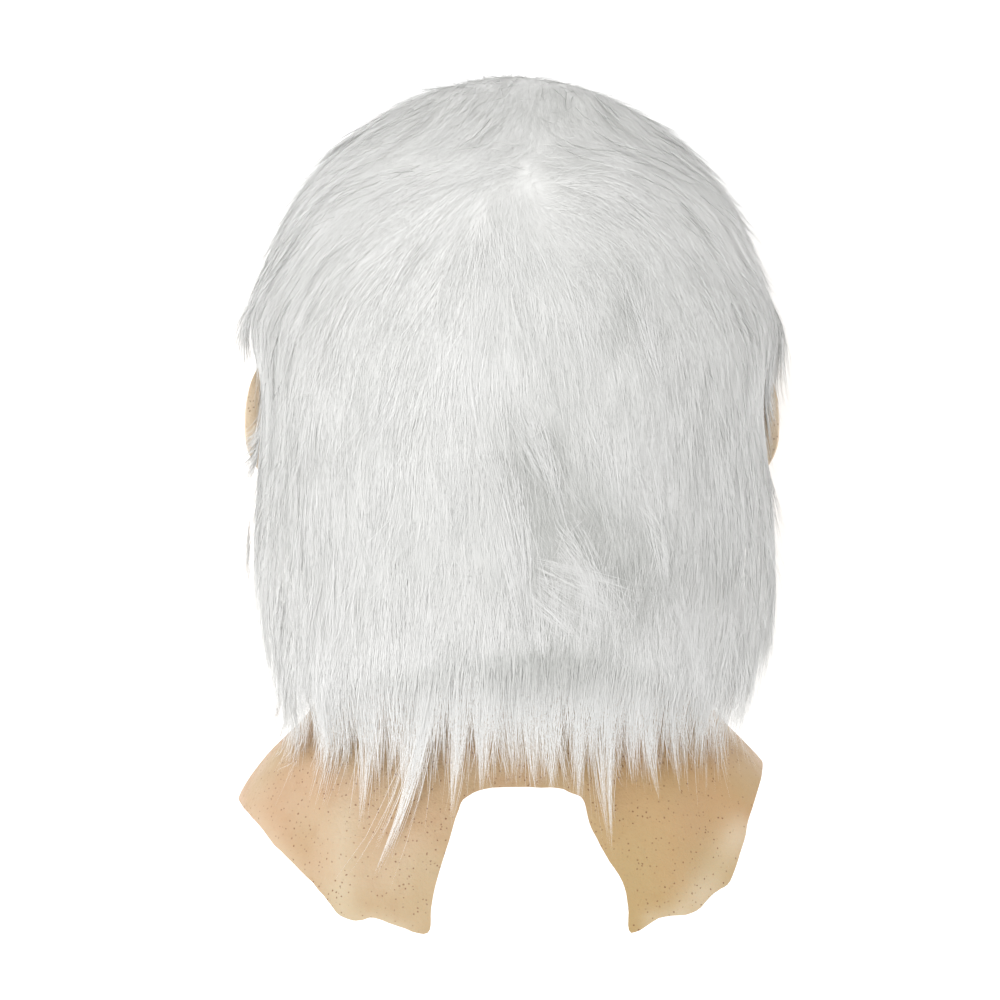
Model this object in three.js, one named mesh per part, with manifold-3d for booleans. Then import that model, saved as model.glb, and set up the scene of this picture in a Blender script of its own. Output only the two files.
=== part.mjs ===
// An old man mask of the pull-over kind: one thin moulded latex shell (skull, face, ears, neck and two
// neck flaps) under a glued-on cap of white imitation fur.
// Millimetres. The head frame has x to the wearer's right, y up the head and z towards the back of the
// head. The mask lies face down, so that frame is turned about x until the nose, the brows and the
// front edge of the fur share one flat plane, and that plane is z = 0 of the finished part.

import * as THREE from 'three';
import { mergeVertices } from 'three/addons/utils/BufferGeometryUtils.js';
import Module from 'manifold-3d';

const { degToRad, smoothstep, lerp, clamp } = THREE.MathUtils;

const WALL = 1.6;
const FUR_GAP = 0.4;

// How the mask lies: turned forwards onto its forehead, on a plane this far from the head's origin.
const REST_TILT = degToRad(-10);
const FLOOR_DROP = 141.7;

// Rings of the head run round this depth, as superellipses.
const RING_CENTRE_Z = 5;
const RING_POWER = 2.25;

// Stations down the head: height, half width, reach to the front and reach to the back.
const SKIN_STATIONS = [
  [334, 0, -5, 5],
  [329, 25, 24, 38],
  [322, 42, 42, 54],
  [307, 61, 62, 75],
  [287, 76, 79, 90],
  [265, 84, 89, 99],
  [240, 87, 92, 102],
  [215, 86, 89, 100],
  [190, 82, 87, 94],
  [160, 79, 87, 82],
  [130, 76, 87, 72],
  [112, 75, 81, 69],
  [100, 77, 66, 68],
  [88, 85, 56, 69],
  [72, 101, 52, 73],
  [56, 112, 52, 78],
  [40, 114, 53, 83],
  [20, 114, 54, 88],
  [0, 113, 55, 91],
];
const FUR_STATIONS = [
  [350, 0, -5, 5],
  [344, 30, 30, 46],
  [336, 49, 48, 66],
  [322, 69, 74, 84],
  [303, 86, 96, 101],
  [287, 95, 104, 111],
  [265, 103, 104, 120],
  [245, 110, 99, 122],
  [225, 109, 96, 120],
  [195, 106, 94, 115],
  [160, 107, 90, 104],
  [130, 107, 84, 96],
  [105, 102, 76, 92],
  [80, 96, 70, 91],
  [50, 92, 66, 92],
  [20, 90, 64, 92],
];

// The latex head's facets: rows at these heights, and columns drawn together at the face.
const SKIN_COLUMNS = 36;
const FACE_CROWDING = 0.6;
const SKULL_ROWS = [331, 321, 306, 290];
const FOREHEAD_ROWS = [276, 262, 249];
const EYE_ROWS = [241, 234, 227, 221, 215, 208, 201];
const NOSE_ROWS = [192, 184, 178, 173, 168];
const MOUTH_ROWS = [161, 155.5, 150, 144.5, 137];
const CHIN_ROWS = [129, 121, 112, 104];
const NECK_ROWS = [96, 87, 78, 69, 58, 40];

const EYE = { x: 33, y: 218, halfWidth: 15, upper: 6, lower: 4.5 };
const MOUTH = { y: 150, halfWidth: 24, opening: 2.2 };
const NOSE = { rootY: 224, tipY: 180, baseY: 167, reach: 27, halfWidth: 14 };
const NOSTRIL = { x: 6.5, y: 171, depth: 99, radius: 3, length: 15 };
const BROW = { y: 237, ridge: 4.5, hair: 2.5 };

const EAR = {
  base: new THREE.Vector3(82, 206, -9),
  swing: degToRad(40),
  lean: degToRad(-8),
  length: 38,
  halfHeight: 32,
  columns: 18,
  rows: 10,
  frontRows: 8,
};

// The trimmed lower rim, seen from behind, as x and y: left side, left flap, arch, right flap, right side.
const BACK_RIM = [
  [-112, 56], [-101.5, 47], [-76, 24], [-67.5, 14.5], [-61, 12.8], [-54, 14], [-33, 8.5],
  [-29.6, 28], [-23.6, 47.6], [-18.2, 60.4], [-8, 64], [15, 64], [27.5, 59.5],
  [34.2, 41.8], [42.8, 27.8], [46, 8.5], [70, 15], [86, 27], [92, 42], [97, 58], [102, 71],
];
const FRONT_RIM = [[102, 71], [60, 66], [0, 62], [-60, 58], [-112, 56]];
const RIM_CUT_REACH = 160;

// The fur grows out from a whorl behind the crown, and ends on this line, given for the right side from
// the middle of the forehead round the ear to the nape, as points near the head.
const SKULL_CENTRE = new THREE.Vector3(0, 215, 5);
const WHORL = new THREE.Vector3(5, 300, 103);
const FUR_EDGE = [
  [0, 286, -86], [22, 286, -84], [42, 284, -75], [60, 275, -60], [74, 257, -46], [82, 241, -36],
  [86, 238, -24], [88, 244, -10], [90, 247, 4], [90, 238, 20], [88, 205, 26], [86, 165, 20],
  [86, 125, 14], [88, 92, 18], [84, 76, 42], [64, 66, 72], [34, 64, 88], [0, 66, 92],
];
const FUR_LOCKS = 24;
const FUR_COLUMNS = 4 * FUR_LOCKS;
const FUR_ROWS = 9;
const EDGE_CROWDING = 1.4;
const FUR_SPREAD = degToRad(96);
const LOCK_HEIGHT = 3;
const LOCK_POINT = 0.03;
const NAPE_POINT = 0.08;
const NAPE_THINNING = 7;
const TEMPLE_THINNING = 9;

const wasm = await Module();
wasm.setup();

// A closed geometry as a solid, turned the right way out where its frame mirrors it.
function solid(geometry) {
  const bare = geometry.clone();
  bare.deleteAttribute('normal');
  bare.deleteAttribute('uv');
  const merged = mergeVertices(bare, 1e-3);
  const vertProperties = merged.attributes.position.array;
  const triVerts = new Uint32Array(merged.index.array);
  if (signedVolume(vertProperties, triVerts) < 0) triVerts.reverse();
  return new wasm.Manifold(new wasm.Mesh({ numProp: 3, vertProperties, triVerts }));
}

function signedVolume(positions, triangles) {
  const corner = (index) => new THREE.Vector3().fromArray(positions, 3 * triangles[index]);
  let volume = 0;
  for (let i = 0; i < triangles.length; i += 3) {
    volume += corner(i).dot(corner(i + 1).cross(corner(i + 2))) / 6;
  }
  return volume;
}

function geometryOf(manifold) {
  const { vertProperties, triVerts } = manifold.getMesh();
  const geometry = new THREE.BufferGeometry();
  geometry.setAttribute('position', new THREE.BufferAttribute(new Float32Array(vertProperties), 3));
  geometry.setIndex(new THREE.BufferAttribute(new Uint32Array(triVerts), 1));
  geometry.computeVertexNormals();
  return geometry;
}

// A sphere's mesh with every vertex moved to shape(polar, azimuth): polar runs 0 to 1 from its top pole,
// and azimuth is 0 at -z and positive towards +x.
function mouldedBall(columns, rows, shape) {
  const ball = new THREE.SphereGeometry(1, columns, rows);
  ball.deleteAttribute('normal');
  ball.deleteAttribute('uv');
  const moulded = mergeVertices(ball);
  const positions = moulded.attributes.position;
  for (let i = 0; i < positions.count; i++) {
    const polar = Math.acos(clamp(positions.getY(i), -1, 1)) / Math.PI;
    const azimuth = Math.atan2(positions.getX(i), -positions.getZ(i));
    const { x, y, z } = shape(polar, azimuth);
    positions.setXYZ(i, x, y, z);
  }
  return moulded;
}

// The station at a fractional index, by Catmull-Rom. The first station is the pole, so what lies before
// it is the second one seen through the pole.
function stationAt(stations, index) {
  const last = stations.length - 1;
  const whole = Math.min(Math.floor(index), last - 1);
  const part = index - whole;
  const [pole, second] = stations;
  const pick = (i) => (i < 0 ? second.map((v, k) => (k ? 2 * pole[k] - v : v)) : stations[Math.min(i, last)]);
  const [a, b, c, d] = [whole - 1, whole, whole + 1, whole + 2].map(pick);
  return b.map((value, k) => {
    const slopeIn = (c[k] - a[k]) / 2;
    const slopeOut = (d[k] - b[k]) / 2;
    const rise = c[k] - value;
    return value + part * (slopeIn + part * (3 * rise - 2 * slopeIn - slopeOut
      + part * (slopeIn + slopeOut - 2 * rise)));
  });
}

function ringAtHeight(stations, y) {
  let low = 0;
  let high = stations.length - 1;
  for (let step = 0; step < 40; step++) {
    const middle = (low + high) / 2;
    if (stationAt(stations, middle)[0] > y) low = middle;
    else high = middle;
  }
  const [, halfWidth, front, back] = stationAt(stations, low);
  return { halfWidth, front: front + RING_CENTRE_Z, back: back - RING_CENTRE_Z };
}

function ringPoint(stations, y, azimuth) {
  const ring = ringAtHeight(stations, y);
  const bow = (value) => Math.sign(value) * Math.abs(value) ** (2 / RING_POWER);
  const across = bow(Math.sin(azimuth));
  const along = -bow(Math.cos(azimuth));
  const depth = along < 0 ? ring.front : ring.back;
  return new THREE.Vector3(across * ring.halfWidth, y, RING_CENTRE_Z + along * depth);
}

// How far outside a set of rings a point lies: 0 on the surface, negative inside.
function outside(stations, point) {
  const ring = ringAtHeight(stations, point.y);
  const along = point.z - RING_CENTRE_Z;
  const depth = Math.max(along < 0 ? ring.front : ring.back, 1e-3);
  const width = Math.max(ring.halfWidth, 1e-3);
  return Math.abs(point.x / width) ** RING_POWER + Math.abs(along / depth) ** RING_POWER - 1;
}

// What touches the floor is pressed flat there. Clear is the least height above the floor.
function pressOnFloor(point, clear) {
  const height = point.y * Math.sin(REST_TILT) + point.z * Math.cos(REST_TILT) + FLOOR_DROP;
  if (height < clear) point.z += (clear - height) / Math.cos(REST_TILT);
  return point;
}

const bell = (value, width) => Math.exp(-((value / width) ** 2));
const bump = (x, y, atX, atY, widthX, widthY) => bell(x - atX, widthX) * bell(y - atY, widthY);

function noseRelief(side, y) {
  const { rootY, tipY, baseY, reach, halfWidth } = NOSE;
  const down = clamp((rootY - y) / (rootY - tipY), 0, 1);
  const bridge = lerp(3, reach, down ** 1.35) * smoothstep(rootY + 8 - y, 0, 12);
  const underside = smoothstep(y, baseY - 1, baseY + 9);
  const width = lerp(7, halfWidth, down);
  const wings = 9 * bump(side, y, 15, tipY - 5, 6, 7);
  return bridge * underside * Math.exp(-(Math.abs(side / width) ** 2.4)) + wings;
}

function browRelief(side, y) {
  const line = BROW.y + 3.5 * Math.sin((Math.PI * clamp(side - 8, 0, 50)) / 62);
  const along = smoothstep(side, 5, 16) * (1 - smoothstep(side, 46, 62));
  const ridge = BROW.ridge * bell(y - line, 10) * (1 - smoothstep(side, 34, 66));
  return ridge + BROW.hair * bell(y - line, 6) * along;
}

function eyeRelief(side, y) {
  const socket = -9 * bump(side, y, EYE.x, EYE.y + 1, 16, 10);
  const lids = 6.5 * bump(side, y, EYE.x, EYE.y, 13, 7.5);
  const bag = 2.4 * bump(side, y, EYE.x, EYE.y - 15, 14, 4);
  return socket + lids + bag;
}

function mouthRelief(side, y) {
  const muzzle = 4.5 * bump(side, y, 0, MOUTH.y + 4, 27, 20);
  const lips = 3 * bump(side, y, 0, MOUTH.y + 5.5, 18, 4.5) + 3.4 * bump(side, y, 0, MOUTH.y - 5.5, 16, 5);
  const corners = -2.5 * bump(side, y, MOUTH.halfWidth + 3, MOUTH.y, 6, 6);
  return muzzle + lips + corners;
}

// The fold from the side of the nose to the corner of the mouth: a soft step with a crease in front.
function cheekFold(side, y) {
  const line = lerp(19, 35, smoothstep(178 - y, 0, 34));
  const along = smoothstep(y, 138, 150) * (1 - smoothstep(y, 172, 184));
  return along * (3.2 * bell(side - line - 6, 7) - 2.6 * bell(side - line, 3));
}

// How far the face stands in front of the plain head.
function faceRelief(x, y) {
  const side = Math.abs(x);
  const cheeks = 4.5 * bump(side, y, 47, 197, 17, 12) - 4 * bump(side, y, 54, 164, 14, 17);
  const chin = 7 * bump(side, y, 0, 121, 17, 10) - 3.5 * bump(side, y, 0, 136, 17, 5);
  const jowls = 3.5 * bump(side, y, 43, 130, 13, 13);
  const temples = -3 * bump(side, y, 66, 246, 12, 18);
  return noseRelief(side, y) + browRelief(side, y) + eyeRelief(side, y) + mouthRelief(side, y)
    + cheekFold(side, y) + cheeks + chin + jowls + temples;
}

function skinPoint(y, azimuth) {
  const point = ringPoint(SKIN_STATIONS, y, azimuth);
  const facing = smoothstep(Math.cos(azimuth), 0.1, 0.6);
  point.z -= facing * faceRelief(point.x, y);
  return pressOnFloor(point, 0);
}

function skinSurface() {
  const faceRows = [...FOREHEAD_ROWS, ...EYE_ROWS, ...NOSE_ROWS, ...MOUTH_ROWS, ...CHIN_ROWS];
  const [[top], [bottom]] = [SKIN_STATIONS[0], SKIN_STATIONS.at(-1)];
  const heights = [top, ...SKULL_ROWS, ...faceRows, ...NECK_ROWS, bottom];
  const rows = heights.length;
  return mouldedBall(SKIN_COLUMNS, rows, (polar, azimuth) => {
    const row = Math.round(polar * rows);
    if (row === rows) return new THREE.Vector3(0, heights[rows - 1], RING_CENTRE_Z);
    return skinPoint(heights[row], azimuth - FACE_CROWDING * Math.sin(azimuth));
  });
}

// The same facets moved along their normals: a copy inside is the mask's hollow.
function movedSurface(surface, distance, clear) {
  const moved = surface.clone();
  moved.computeVertexNormals();
  const positions = moved.attributes.position;
  const normals = moved.attributes.normal;
  for (let i = 0; i < positions.count; i++) {
    const point = new THREE.Vector3().fromBufferAttribute(positions, i);
    const normal = new THREE.Vector3().fromBufferAttribute(normals, i);
    pressOnFloor(point.addScaledVector(normal, distance), clear);
    positions.setXYZ(i, point.x, point.y, point.z);
  }
  return moved;
}

// The ear's own frame: x from its root to its free edge, y up and z outwards. Share is 0 in its middle
// and 1 at its edge, and turn goes round it from the free edge over the top.
function earRelief(share, turn, x, y) {
  const lobe = smoothstep(-Math.sin(turn), 0.45, 0.9);
  const rim = 4.2 * bell(share - 0.9, 0.12) * (1 - lobe);
  const inner = 2.6 * bell(share - 0.56, 0.13) * smoothstep(Math.cos(turn), -0.35, 0.3) * (1 - lobe);
  const bowl = -6.5 * bump(x, y, 15, -3, 8, 11);
  const tragus = 4 * bump(x, y, 3, -5, 4, 6);
  return rim + inner + bowl + tragus + 1.6 * lobe;
}

function earSurface() {
  return mouldedBall(EAR.columns, EAR.rows, (polar, turn) => {
    const row = Math.round(polar * EAR.rows);
    const front = row <= EAR.frontRows;
    const share = front ? row / EAR.frontRows : (EAR.rows - row) / (EAR.rows - EAR.frontRows);
    const below = smoothstep(-Math.sin(turn), 0, 1);
    const x = (EAR.length / 2) * (1 + share * ((1 - 0.3 * below) * Math.cos(turn) - 0.28 * below));
    const y = EAR.halfHeight * share * Math.sin(turn);
    return new THREE.Vector3(x, y, front ? earRelief(share, turn, x, y) : -1.5 - 2.5 * (1 - share));
  });
}

function earSolid(side) {
  const frame = new THREE.Matrix4().makeBasis(
    new THREE.Vector3(side * Math.sin(EAR.swing), 0, Math.cos(EAR.swing)),
    new THREE.Vector3(0, 1, 0),
    new THREE.Vector3(side * Math.cos(EAR.swing), 0, -Math.sin(EAR.swing)),
  );
  const lean = new THREE.Matrix4().makeRotationZ(EAR.lean);
  const base = EAR.base.clone().setX(side * EAR.base.x);
  return solid(earSurface().applyMatrix4(frame.multiply(lean).setPosition(base)));
}

// A flat outline pushed through the head along z.
function through(points, fromZ, toZ) {
  const shape = new THREE.Shape(points.map(([x, y]) => new THREE.Vector2(x, y)));
  const prism = new THREE.ExtrudeGeometry(shape, { depth: toZ - fromZ, bevelEnabled: false });
  return solid(prism.translate(0, 0, fromZ));
}

// What lies below a rim line that runs from one side to the other.
function belowRim(rim, fromZ, toZ) {
  const ends = [rim[0], rim.at(-1)].map(([x, y]) => [Math.sign(x) * RIM_CUT_REACH, y]);
  const floor = [[ends[1][0], -RIM_CUT_REACH], [ends[0][0], -RIM_CUT_REACH]];
  return through([ends[0], ...rim, ends[1], ...floor], fromZ, toZ);
}

function lensOutline(centreX, centreY, halfWidth, upper, lower, steps) {
  const arc = (sign, height) => Array.from({ length: steps }, (_, i) => {
    const x = sign * halfWidth * (1 - (2 * i) / steps);
    return [centreX + x, centreY + sign * height * (1 - (x / halfWidth) ** 2)];
  });
  return [...arc(1, upper), ...arc(-1, lower)];
}

function faceHoles() {
  const eyes = [1, -1].map((side) => {
    const outline = lensOutline(side * EYE.x, EYE.y, EYE.halfWidth, EYE.upper, EYE.lower, 7);
    return through(outline, -130, -50);
  });
  const mouth = through(lensOutline(0, MOUTH.y, MOUTH.halfWidth, MOUTH.opening, MOUTH.opening, 4), -130, -70);
  const nostrils = [1, -1].map((side) => {
    const bore = new THREE.CylinderGeometry(NOSTRIL.radius, NOSTRIL.radius, NOSTRIL.length, 8);
    return solid(bore.translate(side * NOSTRIL.x, NOSTRIL.y, -NOSTRIL.depth));
  });
  return [...eyes, mouth, ...nostrils];
}

// The fur's own directions: an angle from the whorl, and a turn about it that is 0 over the crown.
const whorlAxis = WHORL.clone().sub(SKULL_CENTRE).normalize();
const overCrown = new THREE.Vector3(0, 0, -1).projectOnPlane(whorlAxis).normalize();
const sideways = new THREE.Vector3().crossVectors(whorlAxis, overCrown);

function furDirection(turn, fromWhorl) {
  return whorlAxis.clone().multiplyScalar(Math.cos(fromWhorl))
    .addScaledVector(overCrown, Math.cos(turn) * Math.sin(fromWhorl))
    .addScaledVector(sideways, Math.sin(turn) * Math.sin(fromWhorl));
}

// The edge line as turn and angle pairs, sorted by turn.
function furEdgeAngles() {
  const rightSide = FUR_EDGE.map((point) => new THREE.Vector3(...point));
  const leftSide = rightSide.slice(1, -1).map((point) => point.clone().setX(-point.x));
  const pairs = [...rightSide, ...leftSide].map((point) => {
    const direction = point.sub(SKULL_CENTRE).normalize();
    return [Math.atan2(direction.dot(sideways), direction.dot(overCrown)), direction.angleTo(whorlAxis)];
  });
  return pairs.sort((a, b) => a[0] - b[0]);
}

const furEdge = furEdgeAngles();

function edgeAngleAt(turn) {
  const wrapped = Math.atan2(Math.sin(turn), Math.cos(turn));
  const next = furEdge.findIndex(([at]) => at > wrapped);
  const [fromTurn, fromAngle] = next > 0 ? furEdge[next - 1] : furEdge.at(-1);
  const [toTurn, toAngle] = next >= 0 ? furEdge[next] : furEdge[0];
  const full = 2 * Math.PI;
  const share = ((wrapped - fromTurn + full) % full) / ((toTurn - fromTurn + full) % full || full);
  return lerp(fromAngle, toAngle, share);
}

// The distance from the skull's centre to a set of rings, found by halving.
function reachTo(stations, direction) {
  let low = 20;
  let high = 260;
  for (let step = 0; step < 40; step++) {
    const middle = (low + high) / 2;
    const point = SKULL_CENTRE.clone().addScaledVector(direction, middle);
    if (point.y < stations[0][0] && outside(stations, point) < 0) low = middle;
    else high = middle;
  }
  return low;
}

// A repeatable number from 0 to 1 for each lock.
function scatter(index) {
  const value = Math.sin(index * 12.9898 + 4.1) * 43758.5453;
  return value - Math.floor(value);
}

// The fur as one piece from the whorl to its edge, closed through the skull's centre: the head is cut
// out of it afterwards.
function furBlock() {
  const rows = FUR_ROWS + 1;
  return mouldedBall(FUR_COLUMNS, rows, (polar, turn) => {
    const row = Math.round(polar * rows);
    if (row === rows) return SKULL_CENTRE;
    const share = 1 - (1 - row / FUR_ROWS) ** EDGE_CROWDING;
    const lock =((turn / (2 * Math.PI)) * FUR_LOCKS + FUR_LOCKS) % FUR_LOCKS;
    const ridge = 1 - Math.abs(2 * (lock % 1) - 1);
    const length = 0.5 + scatter(Math.floor(lock));
    const nape = smoothstep(-Math.cos(turn), 0.35, 0.8);
    const point = lerp(LOCK_POINT, NAPE_POINT, nape) * length * (ridge - 0.4);
    const angle = share * FUR_SPREAD + share ** 3 * (edgeAngleAt(turn) - FUR_SPREAD + point);
    const direction = furDirection(turn, angle);
    const temple = smoothstep(Math.abs(direction.x), 0.55, 0.8) * smoothstep(-direction.z, 0.05, 0.3);
    const thinning = (NAPE_THINNING * nape + TEMPLE_THINNING * temple) * smoothstep(share, 0.7, 1);
    const reach = reachTo(FUR_STATIONS, direction) + LOCK_HEIGHT * share * (ridge - 0.5) - thinning;
    return pressOnFloor(SKULL_CENTRE.clone().addScaledVector(direction, reach), 0);
  });
}

const skin = skinSurface();
const ears = [1, -1].map(earSolid);
const [rightEar, leftEar] = ears;

const latexSolid = solid(skin)
  .add(rightEar)
  .add(leftEar)
  .subtract(solid(movedSurface(skin, -WALL, WALL)))
  .subtract(belowRim(BACK_RIM, RING_CENTRE_Z, RIM_CUT_REACH))
  .subtract(belowRim(FRONT_RIM, -RIM_CUT_REACH, RING_CENTRE_Z + 0.01));
const latex = faceHoles().reduce((left, hole) => left.subtract(hole), latexSolid);

const furSolid = solid(furBlock())
  .subtract(solid(movedSurface(skin, FUR_GAP, 0)));
const fur = ears.reduce((left, ear) => left.subtract(ear), furSolid);

function piece(name, manifold, material) {
  const mesh = new THREE.Mesh(geometryOf(manifold), new THREE.MeshStandardMaterial(material));
  mesh.name = name;
  return mesh;
}

const mask = new THREE.Group();
mask.rotation.x = REST_TILT;
mask.position.z = FLOOR_DROP;
mask.add(
  piece('latex_mask', latex, { color: 0xdcbd94, roughness: 0.55, metalness: 0 }),
  piece('fur_wig', fur, { color: 0xe8e8e6, roughness: 0.9, metalness: 0 }),
);

// The part's origin is on the floor under the middle of its box.
const middle = new THREE.Box3().setFromObject(mask, true).getCenter(new THREE.Vector3());
mask.position.x = -middle.x;
mask.position.y = -middle.y;

const part = new THREE.Group();
part.add(mask);

export default part;
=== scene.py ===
"""The old man mask, lying face down: a moulded latex head under a cap of long white imitation fur.

Sizes of the head are in millimetres in the head's own frame: x to the wearer's right, y up the head and z
towards the back of the head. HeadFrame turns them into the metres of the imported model.
"""

import logging
import math
from collections.abc import Callable
from dataclasses import dataclass, field
from enum import Enum

import bmesh
import bpy
import numpy as np
from mathutils import Matrix, Vector

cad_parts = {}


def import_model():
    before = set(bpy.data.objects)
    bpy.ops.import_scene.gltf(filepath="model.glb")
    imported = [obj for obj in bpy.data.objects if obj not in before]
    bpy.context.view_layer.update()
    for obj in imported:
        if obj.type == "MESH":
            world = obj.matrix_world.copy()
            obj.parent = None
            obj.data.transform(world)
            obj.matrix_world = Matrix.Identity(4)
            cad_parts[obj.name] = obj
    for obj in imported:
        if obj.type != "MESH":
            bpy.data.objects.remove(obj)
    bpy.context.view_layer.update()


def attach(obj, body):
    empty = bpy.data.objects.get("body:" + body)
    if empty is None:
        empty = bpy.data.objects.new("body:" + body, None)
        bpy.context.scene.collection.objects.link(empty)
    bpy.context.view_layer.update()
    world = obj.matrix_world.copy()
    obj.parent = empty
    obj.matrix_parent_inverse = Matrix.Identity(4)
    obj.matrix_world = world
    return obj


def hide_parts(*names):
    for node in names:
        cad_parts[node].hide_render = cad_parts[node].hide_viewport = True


LOG = logging.getLogger("old_man_mask")
Array = np.ndarray
Pair = tuple[float, float]
Triple = tuple[float, float, float]
MM = 0.001
TAU = 2 * math.pi
# What mixes a noise cell's whole numbers into a random one.
CELL_STEPS = np.array([73856093, 19349663, 83492791])
SEED_STEP = 2654435761
MIX = 1274126177

# Stations down the head: height, half width, reach to the front and reach to the back.
SKIN_STATIONS = [
    (334, 0, -5, 5), (329, 25, 24, 38), (322, 42, 42, 54), (307, 61, 62, 75), (287, 76, 79, 90),
    (265, 84, 89, 99), (240, 87, 92, 102), (215, 86, 89, 100), (190, 82, 87, 94), (160, 79, 87, 82),
    (130, 76, 87, 72), (112, 75, 81, 69), (100, 77, 66, 68), (88, 85, 56, 69), (72, 101, 52, 73),
    (56, 112, 52, 78), (40, 114, 53, 83), (20, 114, 54, 88), (0, 113, 55, 91),
]
FUR_STATIONS = [
    (350, 0, -5, 5), (344, 30, 30, 46), (336, 49, 48, 66), (322, 69, 74, 84), (303, 86, 96, 101),
    (287, 95, 104, 111), (265, 103, 104, 120), (245, 110, 99, 122), (225, 109, 96, 120),
    (195, 106, 94, 115), (160, 107, 90, 104), (130, 107, 84, 96), (105, 104, 76, 93), (80, 101, 70, 92),
    (50, 97, 66, 93), (20, 94, 64, 92),
]


def ease(value: Array, low: float | Array, high: float | Array) -> Array:
    """A smooth step from 0 at low to 1 at high."""
    share = np.clip((value - low) / (high - low), 0, 1)
    return share * share * (3 - 2 * share)


def bell(value: Array, width: float) -> Array:
    """A bell curve of height 1."""
    return np.exp(-np.square(value / width))


def bump(x: Array, y: Array, at: Pair, width: Pair) -> Array:
    """A rounded bump of height 1."""
    return bell(x - at[0], width[0]) * bell(y - at[1], width[1])


def crease(x: Array, y: Array, start: Pair, end: Pair, width: float) -> Array:
    """A straight crease of depth 1 between two points, fading towards both.

    Args:
        x: Places across the head.
        y: Places up the head.
        start: Where the crease starts.
        end: Where it ends.
        width: How far it reaches to each side.

    Returns:
        The depth at each place.
    """
    along = np.subtract(end, start)
    share = np.clip(((x - start[0]) * along[0] + (y - start[1]) * along[1]) / (along @ along), 0, 1)
    away = np.hypot(x - start[0] - share * along[0], y - start[1] - share * along[1])
    return bell(away, width) * (1 - (2 * share - 1) ** 4)


def unit(vectors: Array) -> Array:
    """The same directions, of length 1."""
    return vectors / np.maximum(np.linalg.norm(vectors, axis=-1, keepdims=True), 1e-9)


def noise(points: Array, size: float, seed: int) -> Array:
    """Smooth noise from -1 to 1.

    Args:
        points: Places, one to a row.
        size: The width of a patch of noise, in the places' unit.
        seed: Which noise it is.

    Returns:
        One value for each place.
    """
    place = points / size
    cell = np.floor(place).astype(np.int64)
    part = place - cell
    part = part * part * (3 - 2 * part)
    total = np.zeros(len(points))
    for corner in np.ndindex(2, 2, 2):
        key = (cell + corner) @ CELL_STEPS + seed * SEED_STEP
        key = (key ^ (key >> 13)) * MIX
        value = ((key ^ (key >> 16)) & 0xFFFF) / 0x8000 - 1
        total += value * np.prod(np.where(corner, part, 1 - part), axis=1)
    return total


@dataclass(frozen=True)
class HeadFrame:
    """Where the head lies in the row: turned forwards on to its forehead, over the floor.

    Tilt is its turn about x, and shift is its move after that, in millimetres.
    """

    tilt: float = math.radians(-10)
    shift: Triple = (0.18, -185.19, 141.7)

    def turned(self, points: Array) -> Array:
        """The head's points along the row's axes, in millimetres."""
        cos, sin = math.cos(self.tilt), math.sin(self.tilt)
        return points @ np.array([[1, 0, 0], [0, cos, sin], [0, -sin, cos]]) + self.shift

    def to_row(self, points: Array) -> Array:
        """The head's points in the row, in metres."""
        return self.turned(points) * MM

    def pressed(self, points: Array, clear: float | Array) -> Array:
        """The head's points with those under the floor moved back along z to lie clear of it."""
        under = np.maximum(clear - self.turned(points)[..., 2], 0)
        return points + under[..., None] * np.array([0, 0, 1 / math.cos(self.tilt)])


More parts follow.
